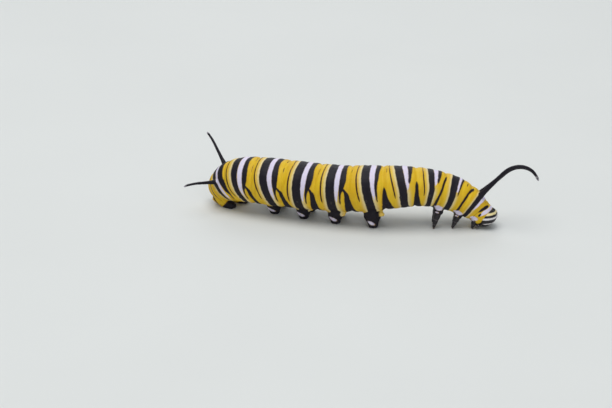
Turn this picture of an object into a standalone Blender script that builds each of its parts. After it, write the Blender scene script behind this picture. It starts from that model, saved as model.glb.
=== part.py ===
"""A monarch larva in its last instar, life size, walking on a flat floor with its head bent down.

Metres, +Z up. The head points along +X, the animal's right side faces -Y, and every foot has its
sole at Z = 0. The trunk is one smooth tube along a bent spine, parted into its segments by thin
gaps. Head, legs, prolegs and filaments are pieces of their own, cut clear of the skin they grow from.
"""

import math

import bmesh
import bpy
import numpy as np
from mathutils import Matrix, Vector

MM = 0.001
GAP = 0.3 * MM  # between pieces that meet
SINK = 0.45  # share of the trunk's radius at which a limb's buried root starts

# One row for each trunk segment, head end first: its name, length and radius in mm, and then in degrees
# how far its forward direction turns to the animal's right, how far it points up, and how far its back
# rolls to the right.
SEGMENTS = (
    ("prothorax", 1.0, 1.72, 4, -42, -6),
    ("mesothorax", 2.4, 2.15, -2, -36, -8),
    ("metathorax", 3.4, 2.50, -9, -22, -9),
    ("abdomen_1", 3.6, 2.68, -13, -8, -8),
    ("abdomen_2", 4.2, 3.00, -10, 3, -4),
    ("abdomen_3", 4.5, 3.28, -3, 6, 0),
    ("abdomen_4", 4.6, 3.32, 3, 2, 6),
    ("abdomen_5", 4.6, 3.36, 7, 1, 12),
    ("abdomen_6", 4.5, 3.36, 8, 1, 17),
    ("abdomen_7", 3.7, 3.20, 11, 8, 20),
    ("abdomen_8", 2.2, 2.75, 20, 30, 22),
    ("abdomen_9", 0.9, 2.20, 27, 43, 22),
    ("abdomen_10", 1.2, 1.75, 30, 50, 22),
)
NAMES = [row[0] for row in SEGMENTS]
ANCHOR = "abdomen_4"  # the segment whose middle is set at a known height
ANCHOR_HEIGHT = 4.75 * MM

# Trunk skin
SIDES = 24
FOLD_DEPTH = 0.055  # of the groove between segments, as a share of the radius
FOLD_WIDTH = 0.07  # of a segment's length
RING_DEPTH = 0.014  # of the shallow grooves between a segment's own rings
RING_LENGTH = 1.1 * MM  # of one such ring along the body
BELLY_FLAT = 0.06
FLANK_BULGE = 0.025  # the lengthwise fold below the breathing holes
FLANK_ANGLE = math.radians(118)
FLANK_SPREAD = math.radians(17)
TAIL_DOME_START = 0.1  # share of the last segment where its end starts to round off

# Head capsule, half sizes
HEAD_WIDTH = 1.62 * MM
HEAD_HEIGHT = 1.52 * MM
HEAD_DEPTH = 1.22 * MM
HEAD_AHEAD = 0.70 * MM  # of the neck, along it
HEAD_UP = 0.26 * MM
HEAD_PITCH = math.radians(-56)
HEAD_ROLL = math.radians(-2)
LENS_RADIUS = 0.10 * MM  # of each of the six small eyes on a side, which stand in an arc
LENS_ARC = 11  # in degrees on the capsule, as are the next two
LENS_ARC_START = -40
LENS_ARC_STEP = 44

# Feet, as distances from the line on the floor below the belly
PROLEG_SPREAD = math.radians(38)  # of the prolegs' roots from the belly's midline
PROLEG_STANCE = 1.50 * MM
PROLEG_STEP = {"abdomen_3": 0.35 * MM, "abdomen_4": 0, "abdomen_5": 0, "abdomen_6": 0.1 * MM}  # ahead
ANAL_ROOT_OUT = 0.45  # of the radius, as is the next
ANAL_ROOT_DOWN = 0.3
ANAL_STANCE = 1.4 * MM
ANAL_REACH = 3.1 * MM  # how far ahead of their roots the anal prolegs step

# Rings of a fleshy limb: the share of the way from foot to root, and in mm the radii across the body and
# along it
PROLEG_RINGS = (
    (1.0, 1.20, 1.45),
    (0.62, 1.15, 1.42),
    (0.44, 1.05, 1.32),
    (0.32, 0.92, 1.12),
    (0.20, 0.72, 0.84),
    (0.12, 0.60, 0.68),
    (0.055, 0.60, 0.66),
    (0.0, 0.48, 0.52),
)
ANAL_RINGS = (
    (1.0, 0.80, 0.95),
    (0.72, 0.82, 1.00),
    (0.45, 0.80, 0.96),
    (0.25, 0.70, 0.86),
    (0.10, 0.62, 0.76),
    (0.0, 0.46, 0.56),
)
LOBE_SIDES = 14
LOBE_LEVEL = 1.8  # the higher, the nearer to the foot a limb's rings begin to lean with it

# Rings of a jointed leg: the share of the way from root to tip, and its radius in mm. Steps down are joints.
LEG_BOW = 0.2 * MM
LEG_RINGS = (
    (0.0, 0.85),
    (0.35, 0.78),
    (0.46, 0.66),
    (0.52, 0.47),
    (0.67, 0.42),
    (0.70, 0.34),
    (0.83, 0.31),
    (0.86, 0.24),
    (0.95, 0.18),
    (1.0, 0.10),
)

# For each pair of legs: its segment and the share of its length where they grow, the angle of their roots
# from the belly's midline, their thickness against the largest pair, and how far ahead and to the side of
# the line down through the belly they step, in mm.
LEGS = (
    ("prothorax", 0.7, 62, 0.78, 1.1, 1.05),
    ("mesothorax", 0.95, 48, 0.92, 0.6, 0.95),
    ("metathorax", 0.93, 42, 1.0, 0.05, 0.90),
)
# For each filament: its name, segment, the angle of its root on the back (0 is the midline, and it grows to
# the right), its length and its radius at the root and before the tip in mm, its direction at root and tip
# as shares ahead, up and right, and the share of its length that is straight.
FILAMENTS = (
    ("front_right", "mesothorax", 36, 10.2, 0.37, 0.25, (0.11, 0.99, 0.02), (0.77, -0.63, 0.02), 0.45),
    ("front_left", "mesothorax", -36, 10.2, 0.37, 0.25, (0.19, 0.98, 0.07), (0.72, -0.69, 0.06), 0.45),
    ("rear_right", "abdomen_8", 46, 5.0, 0.28, 0.25, (-0.30, 0.64, 0.70), (-0.66, 0.30, 0.70), 0.60),
    ("rear_left", "abdomen_8", -46, 5.7, 0.28, 0.25, (-0.24, 0.76, -0.60), (-0.56, 0.60, -0.56), 0.60),
)
FILAMENT_ROOT = 0.3  # share of the trunk's radius that its buried root reaches in
FILAMENT_RINGS = 16
FILAMENT_FLARE = 0.12 * MM  # how much wider the root spreads where it leaves the skin
TIP_SHARE = 0.82  # of a filament's length, past which it narrows to its tip
TIP_NARROWS = 0.6

SHARP_ANGLE = math.radians(40)  # steeper edges are shaded sharp
SKIN_YELLOW = (0.80, 0.58, 0.05)
SKIN_BLACK = (0.02, 0.016, 0.022)


def clear_scene():
    for old in list(bpy.data.objects):
        bpy.data.objects.remove(old)


def through(xs, ys, x):
    """A smooth curve through the points (xs, ys), read at x."""
    xs, ys = np.asarray(xs, float), np.asarray(ys, float)
    x = np.clip(x, xs[0], xs[-1])
    i = np.clip(np.searchsorted(xs, x) - 1, 0, len(xs) - 2)
    slope = np.gradient(ys, xs)
    h = xs[i + 1] - xs[i]
    t = (x - xs[i]) / h
    return (
        (2 * t**3 - 3 * t**2 + 1) * ys[i]
        + (t**3 - 2 * t**2 + t) * h * slope[i]
        + (3 * t**2 - 2 * t**3) * ys[i + 1]
        + (t**3 - t**2) * h * slope[i + 1]
    )


def heading(yaw, pitch):
    """The unit vector that points forward, turned right by yaw and up by pitch."""
    return Vector((
        math.cos(yaw) * math.cos(pitch),
        -math.sin(yaw) * math.cos(pitch),
        math.sin(pitch),
    ))


class Spine:
    """The trunk's centre line. A station is a distance back from the neck, in metres."""

    STEP = 0.02 * MM

    def __init__(self):
        lengths = np.array([row[1] for row in SEGMENTS]) * MM
        self.ends = np.concatenate([[0], np.cumsum(lengths)])
        self.middles = (self.ends[1:] + self.ends[:-1]) / 2
        self.stations = np.arange(0, self.ends[-1] + self.STEP, self.STEP)
        self.radii = self.read(2) * MM
        self.yaw, self.pitch, self.roll = (np.radians(self.read(k)) for k in (3, 4, 5))
        ahead = np.array([heading(y, p) for y, p in zip(self.yaw, self.pitch)])
        steps = (ahead[1:] + ahead[:-1]) / 2 * self.STEP
        line = np.concatenate([[[0, 0, 0]], -np.cumsum(steps, axis=0)])
        anchor = line[self.index(self.middles[NAMES.index(ANCHOR)])]
        self.line = line - anchor + np.array([0, 0, ANCHOR_HEIGHT])

    def read(self, column):
        return through(self.middles, [row[column] for row in SEGMENTS], self.stations)

    def index(self, station):
        return int(np.clip(round(station / self.STEP), 0, len(self.stations) - 1))

    def station(self, name, share=0.5):
        """The station at a share of the named segment's length."""
        k = NAMES.index(name)
        return self.ends[k] + share * (self.ends[k + 1] - self.ends[k])

    def frame(self, station):
        """(centre, ahead, up, right) there: up runs to the back's midline."""
        i = self.index(station)
        beyond = station - self.stations[i]
        ahead = heading(self.yaw[i], self.pitch[i])
        level = ahead.cross(Vector((0, 0, 1))).normalized()
        upright = level.cross(ahead)
        c, s = math.cos(self.roll[i]), math.sin(self.roll[i])
        centre = Vector(self.line[i]) - ahead * beyond
        return centre, ahead, upright * c + level * s, level * c - upright * s

    def radius(self, station):
        return float(self.radii[self.index(station)])


def groove_profile(spine, station):
    """How much of the full radius is left at a station by the folds between and on the segments."""
    k = int(np.clip(np.searchsorted(spine.ends, station, side="right") - 1, 0, len(SEGMENTS) - 1))
    length = spine.ends[k + 1] - spine.ends[k]
    share = (station - spine.ends[k]) / length
    edge = min(share, 1 - share) if k < len(SEGMENTS) - 1 else share
    rings = max(2, round(length / RING_LENGTH))
    ripple = (1 - math.cos(2 * math.pi * rings * share)) / 2
    left = 1 - FOLD_DEPTH * math.exp(-max(edge, 0) / FOLD_WIDTH) - RING_DEPTH * (1 - ripple)
    dome = (share - TAIL_DOME_START) / (1 - TAIL_DOME_START)
    if k == len(SEGMENTS) - 1 and dome > 0:
        left *= math.sqrt(max(0.0, 1 - dome**2.4))
    return left


def skin_point(spine, station, angle):
    """A point of the trunk's skin. The angle is 0 on the back's midline and grows to the right."""
    centre, _, up, right = spine.frame(station)
    below = max(0.0, -math.cos(angle))
    off_flank = (abs(angle) - FLANK_ANGLE) / FLANK_SPREAD
    shape = 1 - BELLY_FLAT * below**3 + FLANK_BULGE * math.exp(-(off_flank**2))
    reach = spine.radius(station) * groove_profile(spine, station) * shape
    return centre + (up * math.cos(angle) + right * math.sin(angle)) * reach


def skin_ring(spine, station, grow=0.0):
    """One ring of skin points, pushed outwards from the spine by grow."""
    centre = spine.frame(station)[0]
    ring = []
    for j in range(SIDES):
        angle = (2 * math.pi * j / SIDES + math.pi) % (2 * math.pi) - math.pi
        point = skin_point(spine, station, angle)
        ring.append(point + (point - centre).normalized() * grow)
    return ring


def loft(name, rings, material, pole=None):
    """A closed skin over rings of equal count, with flat ends or, at the last, a pole."""
    bm = bmesh.new()
    loops = [[bm.verts.new(p) for p in ring] for ring in rings]
    count = len(loops[0])
    for near, far in zip(loops, loops[1:]):
        for j in range(count):
            k = (j + 1) % count
            bm.faces.new((near[j], near[k], far[k], far[j]))
    bm.faces.new(reversed(loops[0]))
    if pole is None:
        bm.faces.new(loops[-1])
    else:
        tip = bm.verts.new(pole)
        for j in range(count):
            bm.faces.new((loops[-1][j], loops[-1][(j + 1) % count], tip))
    bmesh.ops.recalc_face_normals(bm, faces=bm.faces)
    mesh = bpy.data.meshes.new(name)
    bm.to_mesh(mesh)
    bm.free()
    return place(name, mesh, material)


def place(name, mesh, material):
    """An object for a mesh, in the scene, shaded smooth up to its real edges."""
    made = bpy.data.objects.new(name, mesh)
    bpy.context.scene.collection.objects.link(made)
    mesh.materials.clear()
    mesh.materials.append(material)
    smooth_between_edges(mesh)
    return made


def smooth_between_edges(mesh):
    mesh.shade_smooth()
    mesh.set_sharp_from_angle(angle=SHARP_ANGLE)


def painted(name, colour, roughness):
    material = bpy.data.materials.new(name)
    material.use_nodes = True
    shader = material.node_tree.nodes["Principled BSDF"]
    shader.inputs["Base Color"].default_value = (*colour, 1)
    shader.inputs["Roughness"].default_value = roughness
    return material


def combined(made, others, operation):
    """Joins other objects to one, or cuts them from it. Their objects are left as they are."""
    group = bpy.data.collections.new("operands")
    bpy.context.scene.collection.children.link(group)
    for other in others:
        group.objects.link(other)
    step = made.modifiers.new("combine", "BOOLEAN")
    step.operation = operation
    step.solver = "EXACT"
    step.operand_type = "COLLECTION"
    step.collection = group
    graph = bpy.context.evaluated_depsgraph_get()
    mesh = bpy.data.meshes.new_from_object(made.evaluated_get(graph))
    made.modifiers.clear()
    bpy.data.collections.remove(group)
    old, made.data = made.data, mesh
    bpy.data.meshes.remove(old)
    mesh.name = made.name
    keep_largest(mesh)
    smooth_between_edges(mesh)
    return made


def keep_largest(mesh):
    """Drops every closed surface of a mesh but the largest."""
    bm = bmesh.new()
    bm.from_mesh(mesh)
    bm.faces.ensure_lookup_table()
    left, islands = set(bm.faces), []
    while left:
        stack = [left.pop()]
        island = set(stack)
        while stack:
            for edge in stack.pop().edges:
                for face in edge.link_faces:
                    if face in left:
                        left.remove(face)
                        island.add(face)
                        stack.append(face)
        islands.append(island)
    largest = max(islands, key=lambda island: sum(face.calc_area() for face in island))
    spare = [face for face in bm.faces if face not in largest]
    bmesh.ops.delete(bm, geom=spare, context="FACES")
    bm.to_mesh(mesh)
    bm.free()
    return mesh


def segment_stations(spine, k):
    """The stations of one segment's rings: its two faces, just inside them, and each crest and dip."""
    front, back = spine.ends[k], spine.ends[k + 1]
    last = k == len(SEGMENTS) - 1
    count = max(2, round((back - front) / RING_LENGTH))
    shares = [0, FOLD_WIDTH] + [n / (2 * count) for n in range(1, 2 * count)] + [1 - FOLD_WIDTH, 1]
    if last:
        shares = [0, 0.14, 0.3, 0.45, 0.6, 0.74, 0.85, 0.93, 0.98]
    if k > 0:
        front += GAP / 2
    if not last:
        back -= GAP / 2
    return [front + share * (back - front) for share in shares]


def trunk_segments(spine, material):
    for k, name in enumerate(NAMES):
        rings = [skin_ring(spine, station) for station in segment_stations(spine, k)]
        tail_end = spine.frame(spine.ends[-1])[0] if k == len(SEGMENTS) - 1 else None
        loft(name, rings, material, pole=tail_end)


def trunk_clearance(spine, material):
    """The whole trunk grown by the gap, which is cut from all that grows on it."""
    stations = [-GAP]
    for k in range(len(SEGMENTS)):
        stations += segment_stations(spine, k)[(k > 0):]
    rings = [skin_ring(spine, station, GAP) for station in stations]
    centre, ahead, _, _ = spine.frame(spine.ends[-1])
    return loft("trunk_clearance", rings, material, pole=centre - ahead * GAP)


def axes_along(direction, side):
    """Two unit vectors across a direction, the second as near to side as it can be."""
    direction = direction.normalized()
    second = (side - direction * side.dot(direction)).normalized()
    return second.cross(direction), second


def oval(centre, first, second, count):
    """A ring of points on the oval that has these two half axes."""
    turns = [2 * math.pi * (j + 0.5) / count for j in range(count)]
    return [centre + first * math.cos(turn) + second * math.sin(turn) for turn in turns]


def tube(name, points, radii, side, material, count=10, pole=False):
    """A limb along points, with a pair of radii at each: across side, and along it."""
    rings = []
    for k, (point, (across, along)) in enumerate(zip(points, radii)):
        direction = points[min(k + 1, len(points) - 1)] - points[max(k - 1, 0)]
        first, second = axes_along(direction, side)
        rings.append(oval(point, first * across, second * along, count))
    end = points[-1] + (points[-1] - points[-2]).normalized() * radii[-1][0] if pole else None
    return loft(name, rings, material, pole=end)


def flattened(made, level=0.0):
    """Sets every point that hangs below a level on it, so that the piece stands on a flat."""
    for vertex in made.data.vertices:
        vertex.co.z = max(vertex.co.z, level)
    return made


def foot_line(spine, station, lean=1.0):
    """Where the line down through the belly meets the floor, and the level directions right and ahead.

    The line follows the body's own tilt along its length by the share lean.
    """
    centre, ahead, up, _ = spine.frame(station)
    level_ahead = Vector((ahead.x, ahead.y, 0)).normalized()
    right = level_ahead.cross(Vector((0, 0, 1)))
    line = up - level_ahead * up.dot(level_ahead) * (1 - lean)
    return centre - line * (centre.z / line.z), right, level_ahead


def lobe(name, root, foot, form, forward, clearance, material):
    """A fleshy limb from its root to its foot, whose lowest rings lie level so that its sole is flat."""
    rings = []
    for share, across, along in form:
        lean = min(1.0, share * LOBE_LEVEL)
        direction = (Vector((0, 0, 1)) * (1 - lean) + (root - foot).normalized() * lean).normalized()
        first, second = axes_along(direction, forward)
        point = foot + (root - foot) * share
        rings.append(oval(point, first * across * MM, second * along * MM, LOBE_SIDES))
    made = loft(name, rings, material)
    combined(made, [clearance], "DIFFERENCE")
    return flattened(made)


def proleg(spine, name, segment, side, clearance, material):
    """A fleshy walking lobe: a broad root, a waist, and a round pad with a flat sole."""
    station = spine.station(segment, 0.5)
    centre, ahead, up, right = spine.frame(station)
    outwards = right * side * math.sin(PROLEG_SPREAD) - up * math.cos(PROLEG_SPREAD)
    root = centre + outwards * spine.radius(station) * SINK
    floor, level_right, level_ahead = foot_line(spine, station)
    foot = floor + level_right * side * PROLEG_STANCE + level_ahead * PROLEG_STEP[segment]
    root += level_ahead * PROLEG_STEP[segment]
    return lobe(name, root, foot, PROLEG_RINGS, ahead, clearance, material)


def anal_proleg(spine, name, side, clearance, material):
    """One of the two claspers under the tail, which point down and a little forward."""
    station = spine.station("abdomen_10", 0.4)
    centre, _, up, right = spine.frame(station)
    root = centre + (right * side * ANAL_ROOT_OUT - up * ANAL_ROOT_DOWN) * spine.radius(station)
    floor, level_right, level_ahead = foot_line(spine, station, lean=0.0)
    foot = floor + level_right * side * ANAL_STANCE + level_ahead * ANAL_REACH
    return lobe(name, root, foot, ANAL_RINGS, level_ahead, clearance, material)


def true_leg(spine, name, form, side, clearance, material):
    """A short jointed leg that tapers to one claw, whose tip is a small flat on the floor."""
    segment, share, spread, size, ahead_mm, stance = form
    station = spine.station(segment, share)
    centre, ahead, up, right = spine.frame(station)
    radius = spine.radius(station)
    spread = math.radians(spread)
    root = centre + (-up * math.cos(spread) + right * side * math.sin(spread)) * radius * SINK
    floor, level_right, level_ahead = foot_line(spine, station)
    tip = floor + level_right * side * stance * MM + level_ahead * ahead_mm * MM
    bow = level_right * side * LEG_BOW
    points = [root.lerp(tip, t) + bow * 4 * t * (1 - t) for t, _ in LEG_RINGS]
    radii = [(r * size * MM, r * size * MM) for _, r in LEG_RINGS]
    made = tube(name, points, radii, ahead, material, count=10)
    combined(made, [clearance], "DIFFERENCE")
    return flattened(made)


def filament(spine, form, clearance, material):
    """A soft black feeler on the back: a thick root, a long taper, and a bend towards its tip."""
    name, segment, spread, length, base, tip, start, end, straight = form
    station = spine.station(segment)
    centre, ahead, up, right = spine.frame(station)
    radius = spine.radius(station)
    outwards = up * math.cos(math.radians(spread)) + right * math.sin(math.radians(spread))
    point = centre + outwards * radius * (1 - FILAMENT_ROOT)
    buried = radius * FILAMENT_ROOT
    first, last = ((ahead * a + up * b + right * c).normalized() for a, b, c in (start, end))
    length = length * MM + buried
    points, radii = [], []
    for k in range(FILAMENT_RINGS + 1):
        t = k / FILAMENT_RINGS
        bend = max(0.0, (t - straight) / (1 - straight)) ** 1.3
        points.append(point.copy())
        point = point + first.slerp(last, bend) * (length / FILAMENT_RINGS)
        flare = FILAMENT_FLARE * math.exp(-max(0.0, t * length - buried) / (0.6 * MM))
        narrow = 1 - TIP_NARROWS * max(0.0, (t - TIP_SHARE) / (1 - TIP_SHARE)) ** 2
        radii.append((base + (tip - base) * min(1.0, t * 1.4)) * MM * narrow + flare)
    radii = [(r, r) for r in radii]
    made = tube(f"filament_{name}", points, radii, right, material, count=10, pole=True)
    return combined(made, [clearance], "DIFFERENCE")


def head_frame(spine):
    """(centre, ahead, up, right) of the head capsule. Ahead is the way the face looks."""
    centre, ahead, _, _ = spine.frame(0)
    yaw = math.atan2(-ahead.y, ahead.x)
    face = heading(yaw, HEAD_PITCH)
    level = face.cross(Vector((0, 0, 1))).normalized()
    upright = level.cross(face)
    c, s = math.cos(HEAD_ROLL), math.sin(HEAD_ROLL)
    up, right = upright * c + level * s, level * c - upright * s
    return centre + ahead * HEAD_AHEAD + Vector((0, 0, HEAD_UP)), face, up, right


def head_surface(direction):
    """The capsule's point for a unit direction (ahead, right, up) from its centre, in the head's own axes."""
    x, y, z = direction
    lobe = 1 + 0.05 * max(0.0, z) * min(1.0, abs(y) * 2.2)
    seam = 1 - 0.055 * math.exp(-((y / 0.10) ** 2)) * max(0.0, z + 0.1)
    chin = 1 - 0.20 * max(0.0, -z) ** 2
    face = 1 - 0.10 * max(0.0, x) ** 3 * math.exp(-((y / 0.45) ** 2))
    size = lobe * seam
    return Vector((x * HEAD_DEPTH * size * face, y * HEAD_WIDTH * size * chin, z * HEAD_HEIGHT * size))


def head_capsule(name, to_world, grow, material):
    bm = bmesh.new()
    bmesh.ops.create_uvsphere(bm, u_segments=32, v_segments=20, radius=1)
    for vertex in bm.verts:
        spot = head_surface(vertex.co.normalized())
        vertex.co = to_world @ (spot + spot.normalized() * grow)
    # The head's axes ahead, right and up mirror the capsule, so its faces are turned outwards again.
    bmesh.ops.reverse_faces(bm, faces=bm.faces)
    mesh = bpy.data.meshes.new(name)
    bm.to_mesh(mesh)
    bm.free()
    return place(name, mesh, material)


def on_head(azimuth, height):
    """A unit direction in the head's axes: azimuth from straight ahead to the right, height above level."""
    a, h = math.radians(azimuth), math.radians(height)
    return Vector((math.cos(a) * math.cos(h), math.sin(a) * math.cos(h), math.sin(h)))


def bead(name, centre, radius, material):
    """A small round lens or knob, to be joined to the capsule."""
    bm = bmesh.new()
    bmesh.ops.create_icosphere(bm, subdivisions=2, radius=radius)
    bmesh.ops.translate(bm, verts=bm.verts, vec=centre)
    mesh = bpy.data.meshes.new(name)
    bm.to_mesh(mesh)
    bm.free()
    return place(name, mesh, material)


def mouthpart(name, to_world, path, radii, material):
    """A short lobe along a path in the head's axes, in mm, to be joined to the capsule."""
    points = [to_world @ (Vector(p) * MM) for p in path]
    across = to_world.to_3x3() @ Vector((0, 1, 0))
    return tube(name, points, [(a * MM, b * MM) for a, b in radii], across, material, count=8, pole=True)


def head(spine, clearance, material):
    """The hard capsule with its six small eyes on each side, upper lip, jaws and lower lip, as one piece."""
    centre, face, up, right = head_frame(spine)
    to_world = Matrix.Translation(centre) @ Matrix((face, right, up)).transposed().to_4x4()
    made = head_capsule("head", to_world, 0.0, material)
    extras = []
    for side in (-1, 1):
        for k in range(6):
            turn = math.radians(LENS_ARC_START + LENS_ARC_STEP * k)
            spot = on_head(side * (58 + LENS_ARC * math.cos(turn)), -26 + LENS_ARC * math.sin(turn))
            extras.append(bead(f"lens_{k}", to_world @ head_surface(spot), LENS_RADIUS, material))
        jaw = [(0.36, 0.28 * side, -1.05), (0.44, 0.25 * side, -1.36), (0.38, 0.12 * side, -1.56)]
        extras.append(mouthpart("jaw", to_world, jaw, [(0.28, 0.25), (0.26, 0.24), (0.13, 0.15)], material))
        palp = [(-0.10, 0.34 * side, -1.15), (-0.04, 0.36 * side, -1.50), (0.0, 0.36 * side, -1.66)]
        extras.append(mouthpart("palp", to_world, palp, [(0.22, 0.22), (0.17, 0.17), (0.09, 0.09)], material))
    lip = [(0.60, 0, -0.85), (0.66, 0, -1.15), (0.60, 0, -1.36)]
    extras.append(mouthpart("upper_lip", to_world, lip, [(0.16, 0.42), (0.15, 0.46), (0.08, 0.30)], material))
    lower = [(0.05, 0, -1.15), (0.14, 0, -1.48), (0.18, 0, -1.64)]
    lower_radii = [(0.26, 0.34), (0.20, 0.26), (0.10, 0.12)]
    extras.append(mouthpart("lower_lip", to_world, lower, lower_radii, material))
    combined(made, extras, "UNION")
    for extra in extras:
        bpy.data.objects.remove(extra)
    combined(made, [clearance], "DIFFERENCE")
    return to_world


def antenna(name, to_world, side, capsule_clearance, material):
    """A short three-jointed feeler beside the jaws."""
    root = head_surface(on_head(side * 75, -48))
    out = Vector((0.10, 0.75 * side, -0.60)).normalized()
    points = [to_world @ (root + out * d * MM) for d in (-0.2, 0.45, 0.49, 0.67, 0.71, 0.85)]
    radii = [(r * MM, r * MM) for r in (0.25, 0.24, 0.19, 0.18, 0.11, 0.08)]
    made = tube(name, points, radii, to_world.to_3x3() @ Vector((0, 1, 0)), material, count=8)
    return combined(made, [capsule_clearance], "DIFFERENCE")


def centre_on_origin():
    """Moves the whole larva level, so that the middle of its box stands on the origin."""
    solids = [made for made in bpy.data.objects if made.type == "MESH"]
    spots = np.array([made.matrix_world @ v.co for made in solids for v in made.data.vertices])
    middle = (spots.min(axis=0) + spots.max(axis=0)) / 2
    for made in solids:
        made.data.transform(Matrix.Translation((-middle[0], -middle[1], 0)))


def main():
    clear_scene()
    spine = Spine()
    yellow = painted("banded_skin", SKIN_YELLOW, 0.45)
    black = painted("black_skin", SKIN_BLACK, 0.4)
    hard = painted("head_shell", SKIN_BLACK, 0.25)
    trunk_segments(spine, yellow)
    clearance = trunk_clearance(spine, yellow)
    to_world = head(spine, clearance, hard)
    capsule_clearance = head_capsule("capsule_clearance", to_world, GAP, hard)
    for side, label in ((1, "right"), (-1, "left")):
        antenna(f"antenna_{label}", to_world, side, capsule_clearance, hard)
        for k, form in enumerate(LEGS, start=1):
            true_leg(spine, f"leg_{k}_{label}", form, side, clearance, hard)
        for k in (3, 4, 5, 6):
            proleg(spine, f"proleg_{k}_{label}", f"abdomen_{k}", side, clearance, black)
        anal_proleg(spine, f"proleg_anal_{label}", side, clearance, black)
    for form in FILAMENTS:
        filament(spine, form, clearance, black)
    bpy.data.objects.remove(clearance)
    bpy.data.objects.remove(capsule_clearance)
    centre_on_origin()


main()
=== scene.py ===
# %% [markdown]
# # A monarch larva, life size
#
# This scene dresses a packed, still model of a full-grown monarch larva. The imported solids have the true
# size and outline, but they are plain: thirteen trunk segments with steps between them, and limbs set in
# bare. Here one unbroken skin takes the place of all the soft parts, the hard head gets its arches, eyes
# and mouthparts, and every finish is worked out by formulas.
#
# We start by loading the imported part, which stays where it is, and by writing down its size.

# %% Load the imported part
import math

import bpy
import numpy as np
from mathutils import Matrix, Vector, noise


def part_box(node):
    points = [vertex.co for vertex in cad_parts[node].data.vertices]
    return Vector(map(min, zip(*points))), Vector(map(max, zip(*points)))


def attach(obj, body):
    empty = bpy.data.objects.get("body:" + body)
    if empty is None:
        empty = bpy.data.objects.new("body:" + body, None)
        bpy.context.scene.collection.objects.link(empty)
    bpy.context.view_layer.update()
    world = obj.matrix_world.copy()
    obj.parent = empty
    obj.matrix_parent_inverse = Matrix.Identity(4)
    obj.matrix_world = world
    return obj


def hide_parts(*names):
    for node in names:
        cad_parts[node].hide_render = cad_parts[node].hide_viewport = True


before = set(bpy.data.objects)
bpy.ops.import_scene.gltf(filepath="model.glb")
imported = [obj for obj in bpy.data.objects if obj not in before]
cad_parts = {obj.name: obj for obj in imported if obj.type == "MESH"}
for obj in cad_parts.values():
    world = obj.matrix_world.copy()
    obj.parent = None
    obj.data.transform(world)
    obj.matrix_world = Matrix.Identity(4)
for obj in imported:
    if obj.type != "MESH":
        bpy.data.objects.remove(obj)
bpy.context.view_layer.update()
bpy.ops.object.select_all(action="DESELECT")

MM = 0.001
ORIGIN = (0, 0, 0)
SIDES = ((1, "right"), (-1, "left"))
print("nodes:", len(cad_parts))

# %% [markdown]
# ## The spine
#
# The animal is a soft tube, so nearly all that we make is placed along one line, its spine. The table has a
# row for each segment: its length and radius in mm, and then in degrees how far it turns to the animal's
# right, how far it points up and how far its back rolls over to the right. A place on the body is then a
# *station*, the distance back from the neck, and an *angle* from the midline of the back.
#
# We could model each segment by hand, but then every stripe, fold, leg and hair would need a place of its
# own. Working along one line keeps them together: if a number in the table changes, they all move.

# %% The spine
SEGMENTS = (
    ("prothorax", 1.0, 1.72, 4, -42, -6),
    ("mesothorax", 2.4, 2.15, -2, -36, -8),
    ("metathorax", 3.4, 2.50, -9, -22, -9),
    ("abdomen_1", 3.6, 2.68, -13, -8, -8),
    ("abdomen_2", 4.2, 3.00, -10, 3, -4),
    ("abdomen_3", 4.5, 3.28, -3, 6, 0),
    ("abdomen_4", 4.6, 3.32, 3, 2, 6),
    ("abdomen_5", 4.6, 3.36, 7, 1, 12),
    ("abdomen_6", 4.5, 3.36, 8, 1, 17),
    ("abdomen_7", 3.7, 3.20, 11, 8, 20),
    ("abdomen_8", 2.2, 2.75, 20, 30, 22),
    ("abdomen_9", 0.9, 2.20, 27, 43, 22),
    ("abdomen_10", 1.2, 1.75, 30, 50, 22),
)
NAMES = [row[0] for row in SEGMENTS]
ANCHOR = "abdomen_4"  # the segment whose middle stands at a known height
ANCHOR_HEIGHT = 4.75 * MM
STEP = 0.02 * MM


def through(xs, ys, x):
    """A smooth curve through the points (xs, ys), read at x."""
    xs, ys = np.asarray(xs, float), np.asarray(ys, float)
    x = np.clip(x, xs[0], xs[-1])
    i = np.clip(np.searchsorted(xs, x) - 1, 0, len(xs) - 2)
    slope = np.gradient(ys, xs)
    h = xs[i + 1] - xs[i]
    t = (x - xs[i]) / h
    rise = (2 * t**3 - 3 * t**2 + 1) * ys[i] + (3 * t**2 - 2 * t**3) * ys[i + 1]
    return rise + ((t**3 - 2 * t**2 + t) * slope[i] + (t**3 - t**2) * slope[i + 1]) * h


def headings(yaw, pitch):
    return np.stack([np.cos(yaw) * np.cos(pitch), -np.sin(yaw) * np.cos(pitch), np.sin(pitch)], axis=-1)


def unit(vectors):
    return vectors / np.linalg.norm(vectors, axis=-1, keepdims=True)


lengths = np.array([row[1] for row in SEGMENTS]) * MM
ends = np.concatenate([[0], np.cumsum(lengths)])
middles = (ends[1:] + ends[:-1]) / 2
stations = np.arange(0, ends[-1] + STEP, STEP)
radii, yaw, pitch, roll = (through(middles, [row[k] for row in SEGMENTS], stations) for k in (2, 3, 4, 5))
radii = radii * MM
yaw, pitch, roll = np.radians(yaw), np.radians(pitch), np.radians(roll)
ahead = headings(yaw, pitch)
line = np.concatenate([[[0, 0, 0]], -np.cumsum((ahead[1:] + ahead[:-1]) / 2 * STEP, axis=0)])
anchor_row = int(round(middles[NAMES.index(ANCHOR)] / STEP))
line += np.array([0, 0, ANCHOR_HEIGHT]) - line[anchor_row]
level = unit(np.cross(ahead, [0, 0, 1]))
upright = np.cross(level, ahead)
cosine, sine = np.cos(roll)[:, None], np.sin(roll)[:, None]
up = upright * cosine + level * sine
right = level * cosine - upright * sine
print("length along the spine in mm:", round(ends[-1] / MM, 1))

# %% [markdown]
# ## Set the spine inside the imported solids
#
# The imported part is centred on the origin, and our line isn't yet. We work out how far a round tube along
# the line reaches in the middle segment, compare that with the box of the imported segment, and move the line
# by the difference. So the frame, and not a copied number, says where the animal is.

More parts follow.
